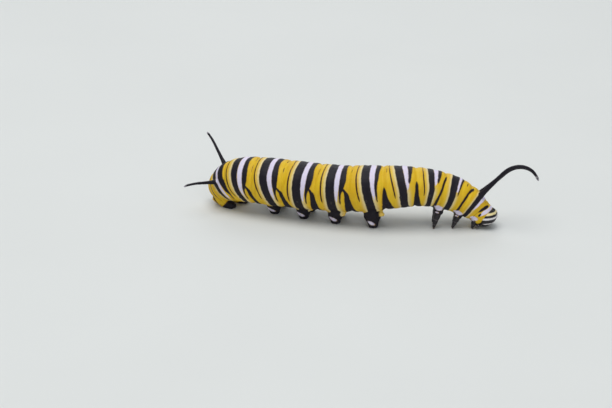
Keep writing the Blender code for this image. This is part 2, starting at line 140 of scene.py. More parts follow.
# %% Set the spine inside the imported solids
box_low, box_high = (np.array(corner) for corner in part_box(ANCHOR))
k = NAMES.index(ANCHOR)
rows = slice(int(ends[k] / STEP), int(ends[k + 1] / STEP))
spread = np.sqrt(1 - ahead[rows] ** 2) * radii[rows, None]
low, high = (line[rows] - spread).min(axis=0), (line[rows] + spread).max(axis=0)
shift = ((box_low + box_high) - (low + high)) / 2
line += np.array([shift[0], shift[1], 0])
print("spine moved by mm:", (shift[:2] / MM).round(3))


def station_of(name, share=0.5):
    return ends[NAMES.index(name)] + share * lengths[NAMES.index(name)]


def spine_frame(station):
    """(centre, ahead, up, right) at a station, which may lie a little beyond either end."""
    i = int(np.clip(round(station / STEP), 0, len(stations) - 1))
    centre = line[i] - ahead[i] * (station - stations[i])
    return Vector(centre), Vector(ahead[i]), Vector(up[i]), Vector(right[i])


def radius_at(station):
    return float(np.interp(station, stations, radii))


# %% [markdown]
# ## Tubes for the soft parts
#
# Trunk, prolegs and filaments all start as curves with a round bevel, whose points each have a radius of
# their own. A curve is the quickest way to a limb: its line gives the pose and its radii the taper, which
# we read from small tables. Converting it makes a closed mesh.
#
# The trunk's tube runs a little past the neck and narrows there, so that the skin tucks in behind the head
# like a collar, and its other end is rounded off like the real tail.

# %% Tubes for the soft parts
NECK = ((-0.55, 0.62), (-0.38, 0.84), (-0.18, 0.96))  # mm past the neck, and the share of the radius there
RING_STEP = 0.24 * MM
TAIL_DOME_START = 0.1  # share of the last segment where its end starts to round off
TAIL_DOME_POWER = 2.4


def rows_of(vectors):
    return np.array([list(vector) for vector in vectors])


def radii_of(form, shares, size=MM):
    """Radii at some shares of a limb, from a table of (share, radius)."""
    given, sizes = np.array(form).T
    return through(given, sizes, shares) * size


def tube(name, points, point_radii, sides=6):
    """A closed tube through points, with a radius in metres at each."""
    bpy.ops.curve.primitive_bezier_curve_add(location=ORIGIN)
    made = bpy.context.object
    made.name = name
    curve = made.data
    curve.splines.clear()
    path = curve.splines.new("POLY")
    path.points.add(len(points) - 1)
    for point, place, size in zip(path.points, points, point_radii):
        point.co = (*place, 1)
        point.radius = size / MM
    curve.twist_mode = "MINIMUM"
    curve.bevel_mode = "ROUND"
    curve.bevel_depth = MM
    curve.bevel_resolution = sides
    curve.use_fill_caps = True
    bpy.ops.object.convert(target="MESH")
    bpy.ops.object.select_all(action="DESELECT")
    return made


def tail_dome(station):
    """The last segment's end is rounded: the share of its radius that is left."""
    share = (station - ends[-2]) / lengths[-1]
    dome = max(0.0, (share - TAIL_DOME_START) / (1 - TAIL_DOME_START))
    return math.sqrt(max(0.0, 1 - dome**TAIL_DOME_POWER))


places = [mm * MM for mm, _ in NECK]
sizes = [radii[0] * share for _, share in NECK]
for station in np.arange(0, ends[-1] - STEP, RING_STEP):
    places.append(station)
    sizes.append(radius_at(station) * tail_dome(station))
soft_parts = [tube("trunk", [spine_frame(station)[0] for station in places], sizes, sides=14)]
print("trunk rings:", len(places))

# %% [markdown]
# ## Prolegs
#
# The five pairs of prolegs are fleshy bags of the same skin, each with a narrower sole that grips. A round
# tube from the trunk's inside to the floor gives the taper. The real ones are longer along the body than
# across it, so in edit mode the whole tube is stretched along X, the way the body runs, about its foot.

# %% Prolegs
SINK = 0.45  # share of the trunk's radius at which a limb's buried root starts
PROLEG_SPREAD = math.radians(38)
PROLEG_STANCE = 1.50 * MM
PROLEG_STEP = {"abdomen_3": 0.35 * MM, "abdomen_4": 0, "abdomen_5": 0, "abdomen_6": 0.1 * MM}
PROLEG_FORM = (
    (0, 0.48), (0.055, 0.60), (0.12, 0.60), (0.20, 0.72), (0.32, 0.92), (0.44, 1.05), (0.62, 1.15), (1, 1.20),
)
ANAL_SHARE = 0.4  # the place along the last segment where the last pair starts
ANAL_ROOT_OUT, ANAL_ROOT_DOWN = 0.45, 0.3
ANAL_STANCE = 1.4 * MM
ANAL_REACH = 3.1 * MM
ANAL_SOLE_BACK = 0.6 * MM  # it leans so far that the middle of its sole lies this far behind its end
ANAL_FORM = ((0, 0.46), (0.10, 0.62), (0.25, 0.70), (0.45, 0.80), (0.72, 0.82), (1, 0.80))
LONGER = (1.2, 1, 1)  # along the body, against across it
LOBE_RINGS = 28


def foot_line(station, lean=1.0):
    """Where the line down through the belly meets the floor, with the level directions right and ahead."""
    centre, forward, upward, _ = spine_frame(station)
    level_ahead = Vector((forward.x, forward.y, 0)).normalized()
    along = upward - level_ahead * upward.dot(level_ahead) * (1 - lean)
    return centre - along * (centre.z / along.z), level_ahead.cross(Vector((0, 0, 1))), level_ahead


def stretched(made, factors, centre):
    """Stretches a whole mesh along X, Y and Z, by hand as in edit mode, about a centre."""
    bpy.context.view_layer.objects.active = made
    bpy.ops.object.mode_set(mode="EDIT")
    bpy.ops.mesh.select_all(action="SELECT")
    bpy.ops.transform.resize(value=factors, center_override=centre)
    bpy.ops.object.mode_set(mode="OBJECT")


def lobe(name, root, foot, form):
    fine = np.linspace(0, 1, LOBE_RINGS)
    made = tube(name, [foot + (root - foot) * t for t in fine], radii_of(form, fine))
    stretched(made, LONGER, foot)
    return made


feet = {}
for side, _ in SIDES:
    for segment, step in PROLEG_STEP.items():
        station = station_of(segment)
        centre, forward, upward, rightward = spine_frame(station)
        outwards = rightward * side * math.sin(PROLEG_SPREAD) - upward * math.cos(PROLEG_SPREAD)
        floor_spot, level_right, level_ahead = foot_line(station)
        root = centre + outwards * radius_at(station) * SINK + level_ahead * step
        foot = floor_spot + level_right * side * PROLEG_STANCE + level_ahead * step
        soft_parts.append(lobe(f"proleg_{segment}_{side}", root, foot, PROLEG_FORM))
        feet[segment, side] = (foot, level_right * side, level_ahead)
    station = station_of("abdomen_10", ANAL_SHARE)
    centre, forward, upward, rightward = spine_frame(station)
    root = centre + (rightward * side * ANAL_ROOT_OUT - upward * ANAL_ROOT_DOWN) * radius_at(station)
    floor_spot, level_right, level_ahead = foot_line(station, lean=0.0)
    foot = floor_spot + level_right * side * ANAL_STANCE + level_ahead * ANAL_REACH
    soft_parts.append(lobe(f"anal_{side}", root, foot, ANAL_FORM))
    feet["anal", side] = (foot - level_ahead * ANAL_SOLE_BACK, level_right * side, level_ahead)
print("prolegs:", len(feet))

# %% [markdown]
# Before each proleg, where it leaves the belly, the skin swells into a small yellow cushion that sticks out
# to the front. A stub of a tube, from inside the proleg to the cushion's end, is enough, because the skin
# is smoothed over it later. The belly isn't level, so each segment has a height of its own for them. The
# body is rolled a little, so the left ones are mirrored across the spine, to hug the belly as the right
# ones do. We keep the places of the ends for the yellow mark.

# %% Cushions
CUSHION_UP = {"abdomen_3": 2.30 * MM, "abdomen_4": 1.72 * MM, "abdomen_5": 1.66 * MM, "abdomen_6": 1.72 * MM}
CUSHION_OUT = 0.45 * MM
CUSHION_START, CUSHION_END = 0.48 * MM, 1.62 * MM  # ahead of the foot
CUSHION_FORM = ((0.0, 0.40), (0.45, 0.42), (0.75, 0.38), (0.92, 0.28), (1.0, 0.12))
CUSHION_MIDDLE = 0.72  # share of the stub where its swelling shows
cushions = []
fine = np.linspace(0, 1, 14)
for segment, height in CUSHION_UP.items():
    foot, out, forward = feet[segment, 1]
    centre, _, _, rightward = spine_frame(station_of(segment))
    base = foot + Vector((0, 0, height)) + out * CUSHION_OUT
    start, end = base + forward * CUSHION_START, base + forward * CUSHION_END
    for side, _ in SIDES:
        path = [start.lerp(end, t) for t in fine]
        if side < 0:
            path = [point - rightward * 2 * (point - centre).dot(rightward) for point in path]
        soft_parts.append(tube(f"cushion_{segment}_{side}", path, radii_of(CUSHION_FORM, fine)))
        cushions.append(path[0].lerp(path[-1], CUSHION_MIDDLE))
print("cushions:", len(cushions))

# %% [markdown]
# ## The roots of the legs
#
# A true leg is hard and jointed, but the piece that it grows from is soft skin, like a short sleeve. The
# sleeves are part of the skin, and the hard legs come later and start inside them. Both follow the same
# path, a straight line from root to claw that bows out a little.

# %% The roots of the legs
LEGS = (  # segment, share of its length, degrees from the belly, size, and mm ahead and out of the foot
    ("prothorax", 0.7, 62, 0.78, 1.1, 1.05),
    ("mesothorax", 0.95, 48, 0.92, 0.6, 0.95),
    ("metathorax", 0.93, 42, 1.0, 0.05, 0.90),
)
LEG_BOW = 0.2 * MM
SLEEVE_FORM = ((0, 0.85), (0.35, 0.78), (0.44, 0.68), (0.49, 0.56), (0.51, 0.44))


def leg_path(form, side, shares):
    segment, share, spread, _, ahead_mm, stance = form
    station = station_of(segment, share)
    centre, _, upward, rightward = spine_frame(station)
    turn = math.radians(spread)
    root = centre + (rightward * side * math.sin(turn) - upward * math.cos(turn)) * radius_at(station) * SINK
    floor_spot, level_right, level_ahead = foot_line(station)
    tip = floor_spot + level_right * side * stance * MM + level_ahead * ahead_mm * MM
    return [root.lerp(tip, t) + level_right * side * LEG_BOW * 4 * t * (1 - t) for t in shares]


fine = np.linspace(0, SLEEVE_FORM[-1][0], 20)
for side, _ in SIDES:
    for number, form in enumerate(LEGS, start=1):
        sizes = radii_of(SLEEVE_FORM, fine, form[3] * MM)
        soft_parts.append(tube(f"sleeve_{number}_{side}", leg_path(form, side, fine), sizes))
print("sleeves:", 2 * len(LEGS))

# %% [markdown]
# ## Filaments
#
# Two pairs of soft black feelers grow on the back, a long pair behind the head and a short pair at the
# tail. Each goes straight out of the skin and then bends. We walk along it in small steps and turn the
# direction a little at each, which gives a natural bend without any points set by hand. The root flares
# where it leaves the skin, and the tip is rounded.

# %% Filaments
FILAMENTS = (  # segment, degrees from the back, length, radii, first and last direction, where it bends
    ("mesothorax", 36, 10.2, 0.36, 0.20, (0.11, 0.99, 0.02), (0.77, -0.63, 0.02), 0.45),
    ("mesothorax", -36, 10.2, 0.36, 0.20, (0.19, 0.98, 0.07), (0.72, -0.69, 0.06), 0.45),
    ("abdomen_8", 46, 5.0, 0.27, 0.17, (-0.30, 0.64, 0.70), (-0.66, 0.30, 0.70), 0.60),
    ("abdomen_8", -46, 5.7, 0.27, 0.17, (-0.24, 0.76, -0.60), (-0.56, 0.60, -0.56), 0.60),
)
FILAMENT_ROOT = 0.3  # share of the trunk's radius that its buried root reaches in
FILAMENT_FLARE, FLARE_LENGTH = 0.14 * MM, 0.6 * MM
BEND_POWER = 1.3
TIP_START, TIP_ROUND = 0.955, 0.85  # share of its length where the tip starts to round off, and how much
filament_paths = []

shares = np.linspace(0, 1, 56)
for number, (segment, spread, length, base, tip, start, end, straight) in enumerate(FILAMENTS):
    centre, forward, upward, rightward = spine_frame(station_of(segment))
    buried = radius_at(station_of(segment)) * FILAMENT_ROOT
    turn = math.radians(spread)
    outwards = upward * math.cos(turn) + rightward * math.sin(turn)
    point = centre + outwards * (radius_at(station_of(segment)) - buried)
    first, last = ((forward * a + upward * b + rightward * c).normalized() for a, b, c in (start, end))
    length = length * MM + buried
    path = []
    for t in shares:
        path.append(point.copy())
        bend = max(0.0, (t - straight) / (1 - straight)) ** BEND_POWER
        point = point + first.slerp(last, bend) * (length * shares[1])
    flare = FILAMENT_FLARE * np.exp(-np.maximum(0, shares * length - buried) / FLARE_LENGTH)
    rounded = np.sqrt(1 - (np.maximum(0, shares - TIP_START) / (1 - TIP_START)) ** 2 * TIP_ROUND)
    sizes = (base + (tip - base) * shares) * MM * rounded + flare
    soft_parts.append(tube(f"filament_{number}", path, sizes))
    filament_paths.append(rows_of(path))
print("filaments:", len(filament_paths))

# %% [markdown]
# ## One skin
#
# The tubes cross each other, which would show as hard seams. A voxel remesh walks over the outside of them
# all and makes one closed surface, like dipping the lot in rubber, and a smoothing modifier then rounds the
# corners where a limb leaves the body. A Boolean union would also join them, but it leaves sharp creases
# and long thin faces that don't bend well.

# %% One skin
VOXEL = 0.118 * MM
for made in soft_parts:
    made.select_set(True)
skin = soft_parts[0]
bpy.context.view_layer.objects.active = skin
bpy.ops.object.join()
skin.name = "skin"
remesh = skin.modifiers.new("one_surface", "REMESH")
remesh.mode = "VOXEL"
remesh.voxel_size = VOXEL
soften = skin.modifiers.new("soften", "SMOOTH")
soften.factor = 0.5
soften.iterations = 4
for modifier in (remesh.name, soften.name):
    bpy.ops.object.modifier_apply(modifier=modifier)
bpy.ops.object.shade_smooth()
print("skin faces:", len(skin.data.polygons))


# %% [markdown]
# ## Find each point's place on the body
#
# Folds and stripes both need to know where a point of the skin lies on the animal. For each vertex we look
# for the nearest place on the spine and note its station, its angle round the body and its distance from
# the line. With numpy all hundred thousand are done at once.

# %% Find each point's place on the body
def read_all(items, what):
    values = np.zeros(len(items) * 3)
    items.foreach_get(what, values)
    return values.reshape(-1, 3)


def mesh_points(mesh):
    return read_all(mesh.vertices, "co")


def mesh_normals(mesh):
    return read_all(mesh.vertex_normals, "vector")


def nearest_rows(points, targets, block=20000):
    """For each point, the row of the nearest target."""
    nearest = np.zeros(len(points), int)
    for start in range(0, len(points), block):
        gap = ((points[start : start + block, None] - targets[None]) ** 2).sum(axis=2)
        nearest[start : start + block] = gap.argmin(axis=1)
    return nearest


def spine_row(place):
    return np.clip(place / STEP, 0, len(stations) - 1).astype(int)


def body_places(points):
    """For each point its station, its angle from the midline of the back, and its distance from the spine."""
    coarse = np.arange(0, len(stations), 20)
    row = coarse[nearest_rows(points, line[coarse])]
    for _ in range(4):
        offset = points - line[row]
        place = stations[row] - (offset * ahead[row]).sum(axis=1)
        row = spine_row(place)
    offset = points - line[row]
    angle = np.arctan2((offset * right[row]).sum(axis=1), (offset * up[row]).sum(axis=1))
    reach = np.linalg.norm(offset - ahead[row] * (offset * ahead[row]).sum(axis=1)[:, None], axis=1)
    return place, angle, reach


points = mesh_points(skin.data)
place, angle, reach = body_places(points)
print("stations in mm:", (place.min() / MM).round(2), "to", (place.max() / MM).round(2))

# %% [markdown]
# ## Folds
#
# The skin folds deeply between the segments, each segment has four or so shallow rings of its own, the belly
# is flatter than the back, and a soft fold runs along the flank below the breathing holes. All of these are
# small moves along the surface normal, worked out from the station and the angle. They are real geometry,
# because they break the outline and catch the light. A little noise keeps the rings from looking turned on
# a lathe.

# %% Folds
FOLD_DEPTH = 0.055  # of the groove between segments, as a share of the radius
FOLD_WIDTH = 0.07  # of a segment's length
RING_DEPTH = 0.016
RING_LENGTH = 1.1 * MM
BELLY_FLAT = 0.06
FLANK_BULGE = 0.025
FLANK_ANGLE, FLANK_SPREAD = math.radians(118), math.radians(17)
UNEVEN, UNEVEN_SIZE = 0.022 * MM, 1.3 * MM
LIMB_FROM, LIMB_OVER = 1.04, 0.12  # shares of the trunk's radius where the folds fade out on a limb


def fold_depth(place, uneven):
    """How deep the folds are at each station, as a share of the radius."""
    k = np.clip(np.searchsorted(ends, place, side="right") - 1, 0, len(SEGMENTS) - 1)
    share = (place - ends[k]) / lengths[k]
    edge = np.where(k < len(SEGMENTS) - 1, np.minimum(share, 1 - share), share)
    edge = np.where((k == 0) & (share < 0.5), 1.0, edge)
    rings = np.maximum(2, np.round(lengths[k] / RING_LENGTH))
    ripple = (1 + np.cos(2 * np.pi * rings * (share + 0.02 * uneven))) / 2
    grooves = FOLD_DEPTH * np.exp(-np.maximum(edge, 0) / FOLD_WIDTH)
    return grooves + RING_DEPTH * ripple**2 * (1 + 0.5 * uneven)


row = spine_row(place)
uneven = np.array([noise.noise(Vector(point) / UNEVEN_SIZE) for point in points])
on_trunk = 1 - np.clip((reach / radii[row] - LIMB_FROM) / LIMB_OVER, 0, 1)
below = np.maximum(0, -np.cos(angle))
flank = np.exp(-(((np.abs(angle) - FLANK_ANGLE) / FLANK_SPREAD) ** 2))
shape = -BELLY_FLAT * below**3 + FLANK_BULGE * flank
outwards = (shape - fold_depth(place, uneven)) * radii[row] * on_trunk
outwards += UNEVEN * uneven * on_trunk
points += mesh_normals(skin.data) * outwards[:, None]
points[:, 2] = np.maximum(points[:, 2], 0)
skin.data.vertices.foreach_set("co", points.ravel())
skin.data.update()
print("skin from", (points.min(axis=0) / MM).round(2), "to", (points.max(axis=0) / MM).round(2))

# %% [markdown]
# ## Stripes
#
# Each segment repeats one pattern: a broad black band, a pale band before it, and thinner black bands and
# lines in the yellow. Every stripe is a *ribbon*: a place along the segment and a half width, both of which
# follow the angle round the body, because the real ones taper, lean and fork. For each vertex we work out
# how far inside a ribbon it lies, in mm. That distance, and not a finished colour, is stored on the vertex:
# the material turns it into an edge later, so the edge stays crisp on a coarse mesh and can be made ragged.
#
# An image would be quicker to paint, but it would have to be unwrapped over the limbs. Formulas need none.
#
# In the tables a place is a share of the segment's length from its middle, and it grows towards the head. A
# mark has its kind, then some angles in degrees, and its place and half width at each of these.

# %% Stripes: the tables
MARK_ANGLES = (0, 50, 85, 115, 150)
BANDS = {  # the half width of a broad band, and its place at each of the mark angles
    "mesothorax": (0.125, (0.06, 0.03, 0.0, 0.0, 0.0)),
    "metathorax": (0.125, (-0.14, -0.17, -0.125, -0.11, -0.12)),
    "abdomen_1": (0.095, (-0.04, -0.007, 0.04, 0.02, 0.02)),
    "abdomen_2": (0.115, (-0.05, 0.018, 0.085, 0.11, 0.155)),
    "abdomen_3": (0.118, (0.018, 0.006, 0.05, 0.095, 0.106)),
    "abdomen_4": (0.122, (-0.02, -0.036, -0.015, 0.02, 0.06)),
    "abdomen_5": (0.125, (-0.01, -0.033, -0.01, 0.03, 0.08)),
    "abdomen_6": (0.117, (-0.13, -0.095, 0.045, 0.16, 0.18)),
    "abdomen_7": (0.10, (-0.12, -0.10, -0.01, 0.16, 0.18)),
    "abdomen_8": (0.11, (-0.19, -0.10, -0.02, 0.10, 0.16)),
}
WHITE = (
    "white", (0, 50, 75, 90, 110), (0.20, 0.195, 0.175, 0.17, 0.165), (0.09, 0.085, 0.06, 0.03, -0.03),
)
LINE = (
    "line", (0, 25, 55, 80, 100, 110),
    (-0.265, -0.27, -0.27, -0.27, -0.26, -0.26), (0.012, 0.016, 0.021, 0.019, 0.008, -0.03),
)
DASH = ("line", (2, 10, 26, 38), (0.60, 0.60, 0.60, 0.60), (-0.02, 0.003, 0.003, -0.02))
NARROW = (
    "black", (0, 60, 70, 78, 90, 104, 110),
    (0.35, 0.345, 0.31, 0.28, 0.262, 0.25, 0.25), (0.072, 0.072, 0.05, 0.032, 0.02, 0.006, -0.03),
)
WEDGE = (
    "black", (60, 66, 76, 95, 120, 145, 180),
    (0.385, 0.39, 0.45, 0.47, 0.47, 0.47, 0.47), (-0.03, 0.02, 0.045, 0.075, 0.12, 0.165, 0.2),
)
MARKS = {
    "prothorax": (
        ("black", (8, 25, 60, 88), (0.02, -0.04, -0.28, -0.5), (-0.1, 0.14, 0.15, -0.03)),
        ("white", (0, 33, 63, 95), (0.46, 0.40, 0.22, 0.05), (0.20, 0.24, 0.26, -0.05)),
    ),
    "mesothorax": (("white", (0, 50, 80, 95), (0.22, 0.20, 0.17, 0.16), (0.10, 0.08, 0.05, -0.03)),),
    "metathorax": (
        ("white", (0, 50, 68, 76), (0.18, 0.175, 0.16, 0.15), (0.055, 0.05, 0.03, -0.03)),
        ("black", (0, 30, 55, 75, 85), (0.27, 0.26, 0.24, 0.22, 0.21), (0.03, 0.028, 0.015, 0.008, -0.03)),
        ("line", (6, 15, 31, 38), (0.46, 0.46, 0.46, 0.46), (-0.02, 0.006, 0.006, -0.02)),
        (
            "black", (14, 20, 55, 96, 140, 170),
            (0.70, 0.70, 0.61, 0.52, 0.51, 0.5), (-0.01, 0.02, 0.035, 0.045, 0.07, 0.1),
        ),
    ),
    "abdomen_1": (
        ("white", (0, 45, 62, 72), (0.19, 0.165, 0.14, 0.13), (0.09, 0.07, 0.04, -0.03)),
        LINE,
        ("black", (0, 40, 58, 66), (0.33, 0.27, 0.225, 0.21), (0.055, 0.04, 0.015, -0.03)),
        (
            "black", (20, 31, 71, 104, 155, 180),
            (0.54, 0.515, 0.40, 0.317, 0.272, 0.25), (-0.01, 0.018, 0.033, 0.045, 0.09, 0.15),
        ),
    ),
    "abdomen_2": (
        ("white", (0, 45, 75, 90), (0.20, 0.185, 0.15, 0.13), (0.09, 0.07, 0.04, -0.03)),
        LINE,
        ("black", (0, 40, 62, 70), (0.36, 0.293, 0.235, 0.22), (0.07, 0.04, 0.014, -0.03)),
        ("black", (54, 60, 90, 133, 180), (0.465, 0.455, 0.41, 0.42, 0.40), (-0.02, 0.01, 0.052, 0.12, 0.2)),
    ),
    "abdomen_3": (
        WHITE, LINE, DASH,
        (
            "black", (0, 45, 72, 95, 104, 110),
            (0.365, 0.32, 0.26, 0.235, 0.225, 0.22), (0.062, 0.05, 0.03, 0.016, 0.006, -0.03),
        ),
        ("black", (64, 72, 98, 140, 180), (0.49, 0.49, 0.46, 0.47, 0.47), (-0.02, 0.015, 0.075, 0.17, 0.2)),
    ),
    "abdomen_8": (
        ("white", (0, 37, 68, 96, 120), (0.225, 0.20, 0.24, 0.28, 0.3), (0.115, 0.09, 0.10, 0.06, -0.03)),
        ("black", (0, 40, 68, 100, 118), (0.465, 0.43, 0.52, 0.63, 0.70), (0.12, 0.14, 0.13, 0.07, -0.03)),
    ),
    "abdomen_9": (("line", (0, 49, 86, 130), (0.25, 0.222, -0.111, -0.4), (0.05, 0.08, 0.08, 0.02)),),
    "abdomen_10": (
        ("black", (0, 40, 70, 95), (-0.35, -0.35, -0.30, -0.2), (0.35, 0.30, 0.10, -0.1)),
        ("line", (60, 86, 139, 170), (0.1, 0.0, -0.458, -0.5), (-0.02, 0.07, 0.07, -0.02)),
    ),
}
for number in (4, 5, 6, 7):
    MARKS[f"abdomen_{number}"] = (WHITE, LINE, DASH, NARROW, WEDGE)
print("segments with marks:", len(MARKS))


# %% Stripes: painting them
OUTSIDE = -3.0  # mm, for a point that no mark is near
BELLY_WIDER = 0.05  # the broad bands' half width grows by this on the belly
CREAM_BEHIND, CREAM_BEFORE = 0.075, 0.09  # how far the yellow pales beside a band


def ribbon(angles, centres, halves, degrees, share, length):
    """How far inside a stripe each point is, in mm: the stripe's place and half width follow the angle."""
    centre = through(angles, centres, degrees)
    half = through(angles, halves, degrees)
    return (half - np.abs(share - centre)) * length / MM


def add(kind, mark):
    fields[kind] = np.maximum(fields[kind], mark)


def paler(beside, width):
    """1 at a band's edge, fading out over a width on its outer side."""
    return np.exp(-((beside / width) ** 2)) * (beside > -0.05)


degrees = np.degrees(np.abs(angle))
fields = {name: np.full(len(points), OUTSIDE) for name in ("black", "white", "line")}
fields["cream"] = np.zeros(len(points))
belly = np.clip((degrees - 130) / 40, 0, 1)
low_down = np.clip((degrees - 65) / 25, 0, 1)
for name, length, middle in zip(NAMES, lengths, middles):
    share = (middle - place) / length
    if name in BANDS:
        half, centres = BANDS[name]
        share = share - through(MARK_ANGLES, centres, degrees)
        add("black", (half + BELLY_WIDER * belly - np.abs(share)) * length / MM)
        add("cream", paler(-share - half, CREAM_BEHIND))
        add("cream", low_down * paler(share - half, CREAM_BEFORE))
    for kind, angles, centres, halves in MARKS.get(name, ()):
        add(kind, ribbon(angles, centres, halves, degrees, share, length))
print("banded points:", int((fields["black"] > 0).sum()))

# %% [markdown]
# ## Marks of the limbs
#
# Prolegs, filaments and the leg sleeves have marks of their own. Anything that stands well clear of the
# trunk's radius is black, and then spots are laid over that: a slanting white spot on the outer face of
# each proleg, white patches on the sleeves, the yellow cushions, and a painted highlight, pale grey, on the
# tips of the black filaments. A spot is an ellipsoid round a point in space, which needs no unwrapping
# either.

# %% Marks of the limbs
LIMB_CLEAR = 0.12  # mm out of the trunk's radius from which all is black
SPOT_UP, SPOT_OUT, SPOT_BACK = 0.82 * MM, 0.75 * MM, 0.30 * MM
SPOT_HALVES = (0.76 * MM, 0.5 * MM, 0.32 * MM)
SPOT_SLOPE = math.radians(20)
CUSHION_HALVES = (0.62 * MM, 0.60 * MM, 0.56 * MM)
CUSHION_PALE = 0.25
ANAL_BLACK, ANAL_AROUND = 1.15, 4  # mm round a sole that are black, and that are then yellow
SLEEVE_SPOTS = (  # share of the leg's path, and half sizes in mm along the body and down the leg
    (0.30, 0.72, 0.36),
    (0.435, 0.36, 0.14),
)
SLEEVE_SPOT_BACK, SLEEVE_SPOT_OUT, SLEEVE_SPOT_DEEP = 0.25 * MM, 0.7 * MM, 0.5 * MM
# painted highlight on the filaments' tips: its strength at the very end, and the mm over which it fades
TIP_HIGHLIGHT, TIP_HIGHLIGHT_EDGE = 1.5, 0.35 * MM


def lay_spot(centre, axes, halves, kind=None):
    """Takes an ellipsoid out of the black and returns how far inside it each point is, in mm."""
    offset = points - np.array(centre)
    parts = [(offset @ np.array(axis)) / half for axis, half in zip(axes, halves)]
    mark = (1 - np.sqrt(sum(part**2 for part in parts))) * min(halves) / MM
    fields["black"] = np.minimum(fields["black"], -mark)
    if kind:
        add(kind, mark)
    return mark


standing_out = (reach - radii[row]) / MM
add("black", np.clip(standing_out - LIMB_CLEAR, -3, 3) * 2)
for (segment, side), (foot, out, forward) in feet.items():
    if segment != "anal":
        centre = foot + Vector((0, 0, SPOT_UP)) + out * SPOT_OUT - forward * SPOT_BACK
        along = forward * math.cos(SPOT_SLOPE) - Vector((0, 0, 1)) * math.sin(SPOT_SLOPE)
        lay_spot(centre, (along, out, along.cross(out)), SPOT_HALVES, "white")
for centre in cushions:
    add("cream", np.clip(lay_spot(centre, np.eye(3), CUSHION_HALVES) / 0.25, 0, CUSHION_PALE))
anal_feet = rows_of(feet["anal", side][0] for side, _ in SIDES)
gap = np.linalg.norm(points[:, None] - anal_feet[None], axis=2).min(axis=1) / MM
on_anal = (place > station_of("abdomen_8", 0.2)) & (gap < ANAL_AROUND)
on_anal &= (standing_out > 0) | (gap < ANAL_BLACK)
fields["black"] = np.where(on_anal, ANAL_BLACK - gap, fields["black"])
for side, _ in SIDES:
    for form in LEGS:
        for share, along_mm, down_mm in SLEEVE_SPOTS:
            here, there = leg_path(form, side, (share, share + 0.05))
            down = (there - here).normalized()
            _, forward, _, rightward = spine_frame(station_of(form[0], form[1]))
            out = (rightward * side - down * rightward.dot(down) * side).normalized()
            centre = here + out * form[3] * SLEEVE_SPOT_OUT - forward * SLEEVE_SPOT_BACK
            halves = (along_mm * form[3] * MM, SLEEVE_SPOT_DEEP, down_mm * form[3] * MM)
            lay_spot(centre, (down.cross(out), out, down), halves, "white")
# Painted highlight: the black filaments are painted pale grey round their tips, in the attribute "pale".
fields["pale"] = np.zeros(len(points))
for path in filament_paths:
    add("pale", np.clip(TIP_HIGHLIGHT - np.linalg.norm(points - path[-1], axis=1) / TIP_HIGHLIGHT_EDGE, 0, 1))
print("white points:", int((fields["white"] > 0).sum()))

# %% [markdown]
# ## Store the marks on the skin
#
# Each mark becomes an attribute of the mesh, which a material can read by name. One more is the point's
# place on a straightened body, in mm: bumps and noise that read it run round the animal as real wrinkles
# do, whichever way the body bends.

# %% Store the marks on the skin
def store(mesh, name, values, kind="FLOAT"):
    attribute = mesh.attributes.new(name, kind, "POINT")
    attribute.data.foreach_set("value" if kind == "FLOAT" else "vector", values.astype(np.float32).ravel())


for name, values in fields.items():
    store(skin.data, name, values)
straight = np.stack([place, reach * np.sin(angle), reach * np.cos(angle)], axis=1) / MM
store(skin.data, "body", straight, "FLOAT_VECTOR")
print("attributes:", [a.name for a in skin.data.attributes if not a.name.startswith(".")])

# %% [markdown]
# ## A short way to write materials
#
# A material is a sum over sockets: *black where the distance is above zero, but ragged by a little noise*.
# Adding and wiring each node by hand hides that sum, so a small class wraps a socket and lets us write the
# sum as it is. Every operator adds one Math node, and the reflected forms let a plain number come first, as
# in 1 - mask. All other nodes come from one method.

# %% A short way to write materials
class Wire:
    """A socket that can be added, subtracted and multiplied like a number."""

    def __init__(self, finish, socket):
        self.finish, self.socket = finish, socket

    def maths(self, operation, first, second):
        return self.finish.node("ShaderNodeMath", {"operation": operation}, {0: first, 1: second})

    def __add__(self, other):
        return self.maths("ADD", self, other)

    def __sub__(self, other):
        return self.maths("SUBTRACT", self, other)

    def __rsub__(self, other):
        return self.maths("SUBTRACT", other, self)

    def __mul__(self, other):
        return self.maths("MULTIPLY", self, other)

    __radd__ = __add__
    __rmul__ = __mul__


